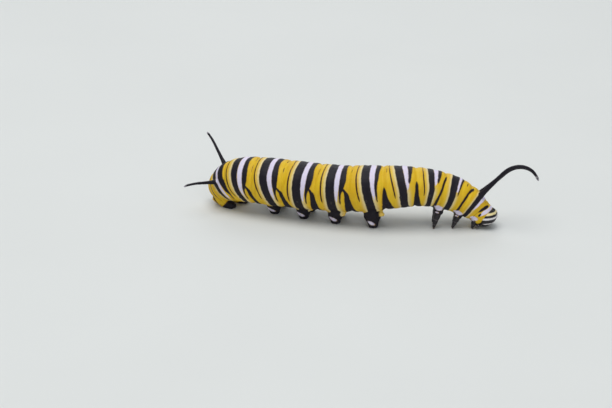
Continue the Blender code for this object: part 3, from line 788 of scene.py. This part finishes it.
class Finish:
    """A material on one shader, with what is the same all over set on the shader's own sockets."""

    def __init__(self, name, **fixed):
        self.material = bpy.data.materials.new(name)
        self.material.use_nodes = True
        self.tree = self.material.node_tree
        self.shader = self.tree.nodes["Principled BSDF"]
        for socket, value in fixed.items():
            self.shader.inputs[socket.replace("_", " ")].default_value = value

    def feed(self, socket, value):
        if isinstance(value, Wire):
            self.tree.links.new(value.socket, socket)
        elif isinstance(value, tuple) and len(socket.default_value) == 4:
            socket.default_value = (*value, 1)
        else:
            socket.default_value = value

    def node(self, kind, settings=None, sockets=None, output=0):
        made = self.tree.nodes.new(kind)
        for setting, value in (settings or {}).items():
            setattr(made, setting, value)
        for socket, value in (sockets or {}).items():
            self.feed(made.inputs[socket], value)
        return Wire(self, made.outputs[output])

    def shade(self, **varying):
        for socket, value in varying.items():
            self.feed(self.shader.inputs[socket.replace("_", " ")], value)
        return self.material

    def attribute(self, name, output="Fac"):
        return self.node("ShaderNodeAttribute", {"attribute_name": name}, output=output)

    def place(self):
        return self.node("ShaderNodeTexCoord", output="Object")

    def scaled(self, vector, factors):
        return self.node("ShaderNodeVectorMath", {"operation": "MULTIPLY"}, {0: vector, 1: factors})

    def grain(self, vector, scale=1.0, detail=2.0):
        return self.node("ShaderNodeTexNoise", sockets={"Vector": vector, "Scale": scale, "Detail": detail})

    def edge(self, value, soft):
        """0 where the value is below zero and 1 above it, over a soft edge."""
        span = {"Value": value, "From Min": -soft, "From Max": soft}
        return self.node("ShaderNodeMapRange", {"interpolation_type": "SMOOTHSTEP"}, span)

    def mix(self, factor, first, second):
        return self.node("ShaderNodeMix", {"data_type": "RGBA"}, {0: factor, 6: first, 7: second}, output=2)

    def bump(self, height, depth, below=None):
        sockets = {"Height": height, "Distance": depth}
        if below is not None:
            sockets["Normal"] = below
        return self.node("ShaderNodeBump", sockets=sockets)


print("material helper ready")

# %% [markdown]
# ## The skin's finish
#
# The living skin is satin and a little translucent, with fine creases that run round the body and a grain
# that is finer still. The yellow is never even: it is deeper in some rings and paler in others. Black bands
# have a brown, slightly ragged border and a faint violet cast, and the black filaments get a painted
# highlight, pale grey, at their tips. From the stored distances we make one mask for each colour and lay the
# colours over one another, the yellow first and the black last.

# %% The skin's finish
YELLOW, DEEP_YELLOW = (0.72, 0.47, 0.016), (0.62, 0.35, 0.006)
CREAM = (0.74, 0.62, 0.33)
PALE = (0.70, 0.64, 0.78)
BROWN = (0.045, 0.012, 0.006)
BLACK, DUSTY_BLACK = (0.006, 0.004, 0.009), (0.017, 0.013, 0.021)
# pale grey of the painted highlight on the filaments' tips
TIP_HIGHLIGHT_GREY = (0.42, 0.39, 0.42)
RAGGED, LINE_RAGGED = 0.16, 0.05  # mm by which noise moves the edge of a mark

finish = Finish("banded_skin", Subsurface_Weight=0.10, Subsurface_Scale=0.0003, Specular_IOR_Level=0.22)
finish.shader.inputs["Subsurface Radius"].default_value = (1.0, 0.6, 0.3)
body = finish.attribute("body", "Vector")
ragged = finish.grain(finish.scaled(body, (5.0, 1.6, 1.6)), detail=3.0) - 0.5
black = finish.edge(finish.attribute("black") + ragged * RAGGED, 0.035)
border = finish.edge(finish.attribute("black") + ragged * RAGGED + 0.05, 0.05)
white = finish.edge(finish.attribute("white") + ragged * RAGGED, 0.06)
thin = finish.edge(finish.attribute("line") + ragged * LINE_RAGGED + 0.012, 0.04)
mottled = finish.edge(finish.grain(finish.scaled(body, (2.4, 0.5, 0.5))) - 0.5, 0.12)
creases = finish.grain(finish.scaled(body, (7.0, 0.9, 0.9)), detail=3.0)
fine_grain = finish.grain(finish.scaled(body, (16.0, 16.0, 16.0)))

colour = finish.mix(mottled * 0.55, YELLOW, DEEP_YELLOW)
colour = finish.mix(finish.attribute("cream"), colour, CREAM)
colour = finish.mix(white, colour, PALE)
colour = finish.mix(thin, colour, BROWN)
colour = finish.mix(border * 0.7, colour, BROWN)
dark = finish.mix(fine_grain * creases * 0.8, BLACK, DUSTY_BLACK)
# the painted highlight on the filaments' tips, laid over the black
dark = finish.mix(finish.attribute("pale"), dark, TIP_HIGHLIGHT_GREY)
colour = finish.mix(black, colour, dark)
rough = 0.40 + 0.16 * fine_grain + 0.06 * black
relief = finish.bump(fine_grain, 0.006 * MM, finish.bump(creases, 0.035 * MM))
banded_skin = finish.shade(Base_Color=colour, Roughness=rough, Normal=relief)
print("skin nodes:", len(finish.tree.nodes))

# %% [markdown]
# ## The head capsule
#
# The head is hard and glossy: two rounded halves that meet in a seam, and a triangle of forehead between
# two more grooves. A sphere is close to that, so we start from one and move its points by a formula that
# swells the halves and sinks the seams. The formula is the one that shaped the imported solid, with the
# grooves added, so the limbs that sit on the head fit.
#
# The pattern is a set of arches round the mouth: a creamy yellow one at the back, white ones inside it and
# a small pale one above the lip, with black between. Seen along the line out of the mouth they are circles,
# so each arch is a range of angles from that line.

# %% The head capsule
HEAD_WIDTH, HEAD_HEIGHT, HEAD_DEPTH = 1.62 * MM, 1.52 * MM, 1.22 * MM
HEAD_AHEAD = 0.70 * MM
HEAD_UP = 0.26 * MM
HEAD_PITCH, HEAD_ROLL = math.radians(-56), math.radians(-2)
FOREHEAD_TOP, FOREHEAD_FOOT, FOREHEAD_HALF = 0.28, -0.62, 0.42
MOUTH_BELOW = math.radians(35)  # how far the arches' centre lies below straight ahead
ARCHES = (  # attribute, angle from the centre, half width, both in degrees, and where its legs end
    ("cream", 126, 7.5, -0.9),
    ("white", 98, 6.0, -0.55),
    ("white", 64, 3.6, -0.35),
    ("cream", 27, 2.5, -0.9),
)

neck, neck_ahead, _, _ = spine_frame(0)
face = Vector(headings(np.array(math.atan2(-neck_ahead.y, neck_ahead.x)), np.array(HEAD_PITCH)))
level_side = face.cross(Vector((0, 0, 1))).normalized()
upright_side = level_side.cross(face)
head_up = upright_side * math.cos(HEAD_ROLL) + level_side * math.sin(HEAD_ROLL)
head_right = level_side * math.cos(HEAD_ROLL) - upright_side * math.sin(HEAD_ROLL)
head_centre = neck + neck_ahead * HEAD_AHEAD + Vector((0, 0, HEAD_UP))
to_world = Matrix.Translation(head_centre) @ Matrix((face, head_right, head_up)).transposed().to_4x4()


def capsule_point(x, y, z):
    """The capsule's point for a unit direction ahead, right and up from its centre."""
    half = 1 + 0.05 * np.maximum(0, z) * np.minimum(1, np.abs(y) * 2.2)
    seam = 1 - 0.055 * np.exp(-((y / 0.10) ** 2)) * np.maximum(0, z + 0.1)
    chin = 1 - 0.20 * np.maximum(0, -z) ** 2
    front = 1 - 0.10 * np.maximum(0, x) ** 3 * np.exp(-((y / 0.45) ** 2))
    down = np.clip((FOREHEAD_TOP - z) / (FOREHEAD_TOP - FOREHEAD_FOOT), 0, 1)
    groove = np.exp(-(((np.abs(y) - FOREHEAD_HALF * down) / 0.035) ** 2))
    groove = groove * (x > 0) * (z < FOREHEAD_TOP + 0.05)
    size = half * seam * (1 - 0.018 * groove)
    corner = (x * HEAD_DEPTH * size * front, y * HEAD_WIDTH * size * chin, z * HEAD_HEIGHT * size)
    return np.stack(corner, axis=-1)


def on_head(azimuth, height):
    """A unit direction: azimuth from straight ahead to the right, and height above level, in degrees."""
    a, h = math.radians(azimuth), math.radians(height)
    return math.cos(a) * math.cos(h), math.sin(a) * math.cos(h), math.sin(h)


bpy.ops.mesh.primitive_uv_sphere_add(segments=160, ring_count=112, radius=1, location=ORIGIN)
head = bpy.context.object
head.name = "head_capsule"
directions = mesh_points(head.data)
axes = np.array(to_world)
placed = capsule_point(*directions.T) @ axes[:3, :3].T + axes[:3, 3]
head.data.vertices.foreach_set("co", placed.ravel())
head.data.flip_normals()
bpy.ops.object.shade_smooth()
bpy.ops.object.select_all(action="DESELECT")

x, _, z = directions.T
from_mouth = np.degrees(np.arccos(x * math.cos(MOUTH_BELOW) - z * math.sin(MOUTH_BELOW)))
arches = {"cream": np.full(len(x), OUTSIDE), "white": np.full(len(x), OUTSIDE)}
for kind, middle_angle, half, foot_height in ARCHES:
    inside = np.radians(half - np.abs(from_mouth - middle_angle)) * HEAD_HEIGHT / MM
    arches[kind] = np.maximum(arches[kind], np.minimum(inside, (z - foot_height) * 1.2))
for kind, values in arches.items():
    store(head.data, kind, values)
print("head faces:", len(head.data.polygons))

# %% [markdown]
# ## Eyes, jaws and feelers
#
# On each side six small simple eyes stand in an arc low on the cheek. One is made from a sphere, sunk a
# little into the shell, and copied. The mouthparts are short lobes: an upper lip drawn out to a plate, two
# strong jaws, and between them the lower lip with its palps. The feelers beside the jaws have three
# joints that slide into each other, pale where they meet. All of them follow paths given in the head's own
# directions, so they stay with it.

# %% Eyes, jaws and feelers
LENS_RADIUS = 0.09 * MM
LENS_SUNK = 0.03 * MM
LENS_ARC, LENS_ARC_START, LENS_ARC_STEP = 11, -40, 44
CHEEK = (58, -26)  # the middle of the arc of eyes
JAW = (  # mm ahead, right and up from the head's centre, and then the radii there
    ((0.34, 0.27, -1.0), (0.42, 0.27, -1.22), (0.42, 0.22, -1.42), (0.36, 0.10, -1.60)),
    (0.24, 0.27, 0.22, 0.07),
)
PALP = (
    ((-0.10, 0.34, -1.15), (-0.05, 0.36, -1.38), (-0.03, 0.36, -1.52), (0.0, 0.35, -1.70)),
    (0.22, 0.19, 0.13, 0.05),
)
UPPER_LIP = (
    ((0.62, 0, -0.82), (0.66, 0, -1.06), (0.64, 0, -1.25), (0.60, 0, -1.40)),
    (0.14, 0.17, 0.15, 0.07),
)
LOWER_LIP = (
    ((0.05, 0, -1.15), (0.12, 0, -1.40), (0.16, 0, -1.55), (0.19, 0, -1.72)),
    (0.28, 0.24, 0.15, 0.05),
)
LIP_LONGER = (2.6, 1, 1)
FEELER_ROOT = (75, -48)
FEELER_OUT = (0.10, 0.75, -0.60)
FEELER_FORM = (  # mm out of the cheek, and the radius there
    (-0.15, 0.24), (0.0, 0.24), (0.30, 0.225), (0.40, 0.20), (0.44, 0.165),
    (0.60, 0.165), (0.66, 0.14), (0.69, 0.085), (0.83, 0.075), (0.86, 0.03),
)


def finished(made, name):
    """Puts a piece's place into its mesh, so that its object stands at the origin, and shades it smooth."""
    bpy.ops.object.select_all(action="DESELECT")
    made.select_set(True)
    bpy.context.view_layer.objects.active = made
    bpy.ops.object.transform_apply(location=True, rotation=True, scale=True)
    bpy.ops.object.shade_smooth()
    bpy.ops.object.select_all(action="DESELECT")
    made.name = name
    return made


def link(name, mesh):
    made = bpy.data.objects.new(name, mesh)
    bpy.context.scene.collection.objects.link(made)
    return made


def copied(made, name, matrix):
    """A copy with a mesh of its own, moved by a matrix."""
    mesh = made.data.copy()
    mesh.transform(matrix)
    return link(name, mesh)


def cheek_spot(side, k):
    turn = math.radians(LENS_ARC_START + LENS_ARC_STEP * k)
    azimuth, height = CHEEK[0] + LENS_ARC * math.cos(turn), CHEEK[1] + LENS_ARC * math.sin(turn)
    direction = Vector(on_head(side * azimuth, height))
    return to_world @ (Vector(capsule_point(*direction)) - direction * LENS_SUNK)


bpy.ops.mesh.primitive_uv_sphere_add(segments=20, ring_count=12, radius=LENS_RADIUS, location=ORIGIN)
lens = finished(bpy.context.object, "lens")
eyes = []
for side, label in SIDES:
    for k in range(6):
        eyes.append(copied(lens, f"eye_{label}_{k + 1}", Matrix.Translation(cheek_spot(side, k))))
bpy.data.objects.remove(lens)


def smooth_tube(name, path, sizes, fine=32):
    """A tube whose path and radii, both in metres, are smoothed through the given points."""
    path = rows_of(path)
    travelled = np.concatenate([[0], np.cumsum(np.linalg.norm(np.diff(path, axis=0), axis=1))])
    reads = np.linspace(0, travelled[-1], fine)
    points = np.stack([through(travelled, path[:, k], reads) for k in range(3)], axis=1)
    made = tube(name, [Vector(p) for p in points], np.interp(reads, travelled, sizes))
    return finished(made, name)


def mouthpart(name, path, sizes, side=1):
    placed = [to_world @ (Vector((x, y * side, z)) * MM) for x, y, z in path]
    return smooth_tube(name, placed, [size * MM for size in sizes])


def feeler_root(side):
    return Vector(capsule_point(*on_head(side * FEELER_ROOT[0], FEELER_ROOT[1])))


mouth, feelers = [], []
for side, label in SIDES:
    mouth.append(mouthpart(f"jaw_{label}", *JAW, side))
    mouth.append(mouthpart(f"palp_{label}", *PALP, side))
    out = Vector((FEELER_OUT[0], FEELER_OUT[1] * side, FEELER_OUT[2])).normalized()
    path = [feeler_root(side) / MM + out * far for far, _ in FEELER_FORM]
    feelers.append(mouthpart(f"feeler_{label}", path, [size for _, size in FEELER_FORM]))
upper_lip = mouthpart("upper_lip", *UPPER_LIP)
stretched(upper_lip, LIP_LONGER, to_world @ (Vector(UPPER_LIP[0][0]) * MM))
mouth += [upper_lip, mouthpart("lower_lip", *LOWER_LIP)]
print("head pieces:", len(eyes) + len(mouth) + len(feelers))

# %% [markdown]
# ## The hard legs
#
# Each true leg ends in three hard joints and a claw. Their glossy black sleeves swell a little and slide
# over a pale skin at each joint, so the profile goes in and out along the path, and we note on each vertex
# how far along the leg it lies. The claw is a thin hook that bends inwards to the floor.

# %% The hard legs
LEG_FORM = (
    (0.40, 0.34), (0.44, 0.44), (0.49, 0.49), (0.56, 0.48), (0.63, 0.43), (0.67, 0.38), (0.685, 0.355),
    (0.71, 0.36), (0.76, 0.345), (0.81, 0.30), (0.84, 0.265), (0.85, 0.25), (0.87, 0.25), (0.91, 0.225),
    (0.945, 0.17), (0.96, 0.12),
)
JOINTS = (0.49, 0.683, 0.848)  # shares of the path where pale skin shows
JOINT_WIDTH = 0.006
CLAW_START = 0.93
CLAW_RADII = np.array((0.13, 0.11, 0.07, 0.02)) * MM
CLAW_BOW, CLAW_AHEAD, CLAW_IN = 0.05 * MM, 0.03 * MM, 0.12 * MM


def floored(made):
    """Sets every point that hangs below the floor on it."""
    spots = mesh_points(made.data)
    spots[:, 2] = np.maximum(spots[:, 2], 0)
    made.data.vertices.foreach_set("co", spots.ravel())
    return made


legs, claws = [], []
fine = np.linspace(LEG_FORM[0][0], LEG_FORM[-1][0], 64)
for side, label in SIDES:
    for number, form in enumerate(LEGS, start=1):
        name = f"true_leg_{number}_{label}"
        path = leg_path(form, side, fine)
        made = floored(finished(tube(name, path, radii_of(LEG_FORM, fine, form[3] * MM)), name))
        along = fine[nearest_rows(mesh_points(made.data), rows_of(path))]
        store(made.data, "joint", sum(np.exp(-(((along - joint) / JOINT_WIDTH) ** 2)) for joint in JOINTS))
        legs.append(made)
        start, tip = leg_path(form, side, (CLAW_START, 1.0))
        _, level_right, level_ahead = foot_line(station_of(form[0], form[1]))
        bow, end = start.lerp(tip, 0.45) + level_ahead * CLAW_BOW, tip - level_right * side * CLAW_IN
        hook = [start, bow, tip + level_ahead * CLAW_AHEAD, end]
        claws.append(floored(smooth_tube(f"claw_{number}_{label}", hook, CLAW_RADII * form[3])))
print("legs:", len(legs), "claws:", len(claws))

# %% [markdown]
# ## Breathing holes
#
# A row of small oval breathing holes, the spiracles, runs along each flank: one on the first segment and
# one on each of the first eight abdominal ones. Each has a raised black rim round a slit. We model one from
# a torus and a flattened sphere, lying flat, and stand a copy on the skin at each place. A ray from the
# spine would do to find the skin, but asking the mesh for its closest point is simpler and never misses.

# %% Breathing holes
SPIRACLE_ANGLE = math.radians(100)
FRONT_SPIRACLE_ANGLE = math.radians(84)  # the first one sits higher, clear of the leg's root
SPIRACLE_HALF = 0.12 * MM
RIM_THICK, SLIT_FLAT, HOLE_TALL = 0.28, (0.92, 0.92, 0.16), (1.55, 1, 1)  # shares of that half width
LARGE_SPIRACLES, LARGER = ("prothorax", "abdomen_8"), 1.15
bpy.ops.mesh.primitive_torus_add(
    major_segments=28, minor_segments=10, major_radius=SPIRACLE_HALF, minor_radius=SPIRACLE_HALF * RIM_THICK
)
rim = bpy.context.object
bpy.ops.mesh.primitive_uv_sphere_add(segments=24, ring_count=10, radius=SPIRACLE_HALF)
slit = bpy.context.object
stretched(slit, SLIT_FLAT, ORIGIN)
rim.select_set(True)
slit.select_set(True)
bpy.context.view_layer.objects.active = rim
bpy.ops.object.join()
stretched(rim, HOLE_TALL, ORIGIN)
rim = finished(rim, "rim")

spiracles = []
for side, label in SIDES:
    for segment in NAMES[:1] + NAMES[3:11]:
        station = station_of(segment)
        centre, _, upward, rightward = spine_frame(station)
        turn = FRONT_SPIRACLE_ANGLE if segment == "prothorax" else SPIRACLE_ANGLE
        out = upward * math.cos(turn) + rightward * side * math.sin(turn)
        _, spot_on_skin, normal, _ = skin.closest_point_on_mesh(centre + out * radius_at(station) * 1.02)
        tall = (upward - normal * upward.dot(normal)).normalized()
        turned = Matrix((tall, normal.cross(tall), normal)).transposed().to_4x4()
        sized = Matrix.Scale(LARGER if segment in LARGE_SPIRACLES else 1.0, 4)
        stand = Matrix.Translation(spot_on_skin) @ turned @ sized
        spiracles.append(copied(rim, f"spiracle_{segment}_{label}", stand))
bpy.data.objects.remove(rim)
print("breathing holes:", len(spiracles))

# %% [markdown]
# ## Bristles and hooks
#
# Close up, the skin carries short fine bristles, longer on the head and feet, and each proleg grips with a
# row of tiny hooks on the inner edge of its sole. There are hundreds, so each is only a bent spike with
# three sides, and all of one kind go into one mesh that numpy writes at once. A fixed seed gives the same
# bristles on every run. Each bristle also gets a small patch on a UV map at its root's place on the
# unrolled skin, which is where the export looks up its colour.

# %% Bristles and hooks
draw = np.random.default_rng(7)
SPIKE_RINGS = ((-0.25, 0.0, 1.0), (0.55, 0.12, 0.75))  # share of the length, bend, share of the thickness
TIP_BEND = 0.45
SPIKE_FACES = np.array((
    (0, 1, 4), (0, 4, 3), (1, 2, 5), (1, 5, 4), (2, 0, 3), (2, 3, 5),
    (3, 4, 6), (4, 5, 6), (5, 3, 6), (2, 1, 0),
))
PATCH = np.array([(0, 0), (1, 0), (0.5, 1), (0, 0.3), (1, 0.3), (0.5, 0.8), (0.5, 0.5)]) * 0.003 - 0.0015


def spikes(name, roots, directions, bends, spike_lengths, thickness, seats):
    """One mesh of bent three-sided spikes. Seats are the roots' places on the unrolled skin, 0 to 1."""
    directions = unit(directions)
    first = unit(np.cross(directions, directions[:, [1, 2, 0]] + 0.3))
    second = np.cross(directions, first)
    reach_out = spike_lengths[:, None]
    corners = []
    for share, bend, width in SPIKE_RINGS:
        centre = roots + directions * reach_out * share + bends * reach_out * bend
        for turn in np.radians((0, 120, 240)):
            corners.append(centre + (first * math.cos(turn) + second * math.sin(turn)) * thickness * width)
    corners.append(roots + directions * reach_out + bends * reach_out * TIP_BEND)
    vertices = np.stack(corners, axis=1).reshape(-1, 3)
    faces = (SPIKE_FACES[None] + 7 * np.arange(len(roots))[:, None, None]).reshape(-1, 3)
    mesh = bpy.data.meshes.new(name)
    mesh.from_pydata(vertices.tolist(), [], faces.tolist())
    layer = mesh.uv_layers.new(name="OFBake")
    spread = (seats[:, None, :] * 0.98 + 0.01 + PATCH[None]).reshape(-1, 2)
    layer.data.foreach_set("uv", spread[faces.ravel()].astype(np.float32).ravel())
    return link(name, mesh)


BRISTLES, FACE_BRISTLES = 800, 110
BRISTLE_THICK, FACE_BRISTLE_THICK = 0.006 * MM, 0.008 * MM
BARE_BELOW = 0.45 * MM  # no bristles this near the floor
limb_like = np.clip(standing_out - 0.15, 0, 1) * (angle**2 > 2.2)
weight = (0.25 + 3.0 * limb_like) * (points[:, 2] > BARE_BELOW)
chosen = draw.choice(len(points), BRISTLES, replace=False, p=weight / weight.sum())
lean = -ahead[row[chosen]] * 0.5 + draw.normal(0, 0.15, (BRISTLES, 3))
bristle_lengths = draw.uniform(0.06, 0.12, BRISTLES) * MM * (1 + limb_like[chosen])
unrolled = np.clip(place[chosen] / ends[-1], 0, 1), (angle[chosen] + math.pi) / (2 * math.pi)
bristles = spikes(
    "skin_bristles", points[chosen], mesh_normals(skin.data)[chosen] + lean, lean,
    bristle_lengths, BRISTLE_THICK, np.stack(unrolled, axis=1),
)
wanted = (directions[:, 0] > -0.2) * (0.3 + (directions[:, 2] < -0.2))
chosen = draw.choice(len(directions), FACE_BRISTLES, replace=False, p=wanted / wanted.sum())
droop = np.array(face)[None] * 0.4 + draw.normal(0, 0.2, (FACE_BRISTLES, 3))
face_bristles = floored(spikes(
    "face_bristles", mesh_points(head.data)[chosen], mesh_normals(head.data)[chosen] + droop, droop,
    draw.uniform(0.12, 0.24, FACE_BRISTLES) * MM, FACE_BRISTLE_THICK, draw.uniform(0, 1, (FACE_BRISTLES, 2)),
))
print("bristles:", BRISTLES + FACE_BRISTLES)

# %% [markdown]
# The hooks use the same spikes, thicker and bent harder. They stand in half an oval along the inner edge of
# each sole, point down, and curl under the foot.

# %% Hooks
HOOKS = 26
HOOK_LENGTH, HOOK_THICK = 0.13 * MM, 0.016 * MM
HOOKS_ACROSS, HOOKS_ALONG, HOOKS_UP = 0.44 * MM, 0.52 * MM, 0.15 * MM
HOOK_SPLAY = 0.35
roots, headings_down, curls = [], [], []
for foot, out, forward in feet.values():
    for turn in np.radians(np.linspace(100, 260, HOOKS)):
        radial = out * math.cos(turn) + forward * math.sin(turn)
        oval = out * math.cos(turn) * HOOKS_ACROSS + forward * math.sin(turn) * HOOKS_ALONG
        roots.append(foot + oval + Vector((0, 0, HOOKS_UP)))
        headings_down.append(Vector((0, 0, -1)) + radial * HOOK_SPLAY)
        curls.append(-radial)
count = len(roots)
hooks = floored(spikes(
    "sole_hooks", rows_of(roots), rows_of(headings_down), rows_of(curls),
    np.full(count, HOOK_LENGTH), HOOK_THICK, draw.uniform(0, 1, (count, 2)),
))
print("hooks:", count)

# %% [markdown]
# ## Hard finishes
#
# The capsule, legs and rims are the same hard shell: nearly black, glossy, with fine pits and a slight
# unevenness that breaks up the reflections. The arches of the head come from the distances stored on it, as
# the stripes did. Claws, jaws, hooks and bristles are amber horn that darkens in streaks. Eyes are dark and
# wet, so they get a clear coat.

# %% Hard finishes
SHELL, DUSTY_SHELL = (0.007, 0.005, 0.008), (0.020, 0.015, 0.018)
ARCH_YELLOW, ARCH_CREAM, ARCH_WHITE = (0.80, 0.62, 0.22), (0.78, 0.70, 0.45), (0.76, 0.72, 0.72)
JOINT_SKIN = (0.30, 0.26, 0.26)
EYE_DARK, EYE_SPECK = (0.006, 0.004, 0.004), (0.05, 0.025, 0.012)
FEELER_JOINTS, FEELER_JOINT_WIDTH = (0.42, 0.675), 0.035
FEELER_PALE_ROOT = 0.22


def grain_in_mm(finish, scale, detail=2.0):
    return finish.grain(finish.scaled(finish.place(), (1 / MM, 1 / MM, 1 / MM)), scale, detail)


def hard_shell(name, kind):
    finish = Finish(name, Specular_IOR_Level=0.40)
    pits, waves = grain_in_mm(finish, 14.0), grain_in_mm(finish, 3.0)
    dark = finish.mix(pits * 0.6, SHELL, DUSTY_SHELL)
    if kind == "head":
        ragged = (grain_in_mm(finish, 7.0, 3.0) - 0.5) * 0.10
        cream, white = (finish.edge(finish.attribute(arch) + ragged, 0.03) for arch in ("cream", "white"))
        dark = finish.mix(cream, dark, finish.mix(waves, ARCH_YELLOW, ARCH_CREAM))
        dark = finish.mix(white, dark, ARCH_WHITE)
    if kind == "leg":
        dark = finish.mix(finish.attribute("joint") * 0.5, dark, JOINT_SKIN)
    rough = 0.20 + 0.18 * waves + 0.08 * pits
    relief = finish.bump(pits, 0.004 * MM, finish.bump(waves, 0.03 * MM))
    return finish.shade(Base_Color=dark, Roughness=rough, Normal=relief)


def horn(name, pale, dark):
    finish = Finish(name, IOR=1.54)
    streaks = grain_in_mm(finish, 9.0, 3.0)
    relief = finish.bump(streaks, 0.004 * MM)
    colour = finish.mix(streaks, dark, pale)
    return finish.shade(Base_Color=colour, Roughness=0.28 + 0.2 * streaks, Normal=relief)


def wet_eye():
    finish = Finish("wet_eye", IOR=1.5, Coat_Weight=1.0, Coat_Roughness=0.02)
    specks = grain_in_mm(finish, 20.0)
    return finish.shade(Base_Color=finish.mix(specks, EYE_DARK, EYE_SPECK), Roughness=0.08 + 0.06 * specks)


head_finish = hard_shell("banded_shell", "head")
leg_finish = hard_shell("jointed_shell", "leg")
shell_finish = hard_shell("black_shell", "plain")
claw_finish = horn("claw_horn", (0.16, 0.07, 0.025), (0.022, 0.012, 0.010))
bristle_finish = horn("bristle_horn", (0.10, 0.07, 0.05), (0.02, 0.015, 0.015))
eye_finish = wet_eye()
for made, (side, _) in zip(feelers, SIDES):
    gap = np.linalg.norm(mesh_points(made.data) - np.array(to_world @ feeler_root(side)), axis=1) / MM
    pale_here = sum(np.exp(-(((gap - joint) / FEELER_JOINT_WIDTH) ** 2)) for joint in FEELER_JOINTS)
    store(made.data, "joint", np.clip(pale_here + np.clip(1 - gap / FEELER_PALE_ROOT, 0, 1), 0, 1))
print("finishes:", len(bpy.data.materials))


# %% [markdown]
# ## Hand the pieces to the frame
#
# Every piece rides on the one body of this still model. The skin replaces all the soft nodes at once, the
# capsule the head, and each leg and feeler its own node. The imported solids stay in the physics, unseen.

# %% Hand the pieces to the frame
def hand_over(made, slot, material, *nodes):
    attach(made, "root")
    if nodes:
        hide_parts(*nodes)
    made.data.materials.clear()
    made.data.materials.append(material)


soft_nodes = NAMES + [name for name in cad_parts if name.startswith(("proleg", "filament"))]
hand_over(skin, "banded_skin", banded_skin, *soft_nodes)
hand_over(head, "head_shell", head_finish, "head")
for made in legs:
    hand_over(made, "head_shell", leg_finish, made.name.removeprefix("true_"))
for made in feelers:
    hand_over(made, "head_shell", leg_finish, made.name.replace("feeler", "antenna"))
for made in mouth:
    hand_over(made, "head_shell", claw_finish if made.name.startswith("jaw") else shell_finish)
for group, finish in ((claws, claw_finish), (eyes, eye_finish), (spiracles, shell_finish)):
    for made in group:
        hand_over(made, "head_shell", finish)
hand_over(hooks, "black_skin", claw_finish)
hand_over(bristles, "black_skin", bristle_finish)
hand_over(face_bristles, "head_shell", bristle_finish)
print("pieces:", 5 + len(legs + feelers + mouth + claws + eyes + spiracles))

# %% [markdown]
# ## Camera, floor and light
#
# The camera stands to the right of the animal and a little above it, as in the photograph. Its distance and
# lens follow from the size of one of the picture's 612 columns on the animal. The larva stands on a plain
# pale floor. Its skin is satin, so small lamps would show as hard discs in it: we use one broad panel
# overhead, a fill from the front and a soft rim from behind, and an even sky.

# %% Camera
AZIMUTH, ELEVATION = math.radians(12), math.radians(22)
DISTANCE = 0.300
COLUMNS = 612
COLUMN_SIZE = 0.138 * MM
OFFSET_ACROSS, OFFSET_UP = -4.209 * MM, -2.139 * MM
SENSOR = 36
NEAREST = 0.01

level_back = Vector((math.sin(AZIMUTH), -math.cos(AZIMUTH), 0))
backwards = level_back * math.cos(ELEVATION) + Vector((0, 0, math.sin(ELEVATION)))
across = Vector((math.cos(AZIMUTH), math.sin(AZIMUTH), 0))
upwards = across.cross(-backwards)
target = Vector(line[anchor_row])
camera_place = target + backwards * DISTANCE + across * OFFSET_ACROSS + upwards * OFFSET_UP
bpy.ops.object.camera_add(location=camera_place)
camera = bpy.context.object
camera.rotation_euler = backwards.to_track_quat("Z", "Y").to_euler()
camera.data.sensor_width = SENSOR
camera.data.lens = SENSOR * DISTANCE / (COLUMNS * COLUMN_SIZE)
camera.data.clip_start = NEAREST
bpy.context.scene.camera = camera
print("lens in mm:", round(camera.data.lens, 1))

# %% Floor and light
FLOOR_SIZE = 2
FLOOR_DARK, FLOOR_PALE = (0.66, 0.67, 0.65), (0.70, 0.71, 0.69)
SKY, SKY_STRENGTH = (0.86, 0.93, 1.0, 1), 0.36
LAMPS = (  # name, place, size and power
    ("overhead", (-0.05, -0.06, 0.50), 0.50, 1.9),
    ("fill", (0.25, -0.45, 0.18), 0.40, 0.5),
    ("rim", (-0.10, 0.45, 0.30), 0.40, 0.6),
)
bpy.ops.mesh.primitive_plane_add(size=FLOOR_SIZE, location=ORIGIN)
floor = bpy.context.object
floor.name = "floor"
finish = Finish("pale_floor", IOR=1.4)
cloudy = finish.grain(finish.place(), 30.0)
colour = finish.mix(cloudy, FLOOR_DARK, FLOOR_PALE)
floor.data.materials.append(finish.shade(Base_Color=colour, Roughness=0.7 + 0.1 * cloudy))

for name, lamp_place, size, power in LAMPS:
    bpy.ops.object.light_add(type="AREA", location=lamp_place)
    lamp = bpy.context.object
    lamp.name = name
    lamp.data.shape = "DISK"
    lamp.data.size = size
    lamp.data.energy = power
    lamp.rotation_euler = (Vector(lamp_place) - target).to_track_quat("Z", "Y").to_euler()
world = bpy.data.worlds.new("studio")
bpy.context.scene.world = world
world.use_nodes = True
sky = world.node_tree.nodes["Background"]
sky.inputs["Color"].default_value = SKY
sky.inputs["Strength"].default_value = SKY_STRENGTH
bpy.context.scene.view_settings.view_transform = "Standard"
print("lamps:", len(LAMPS))
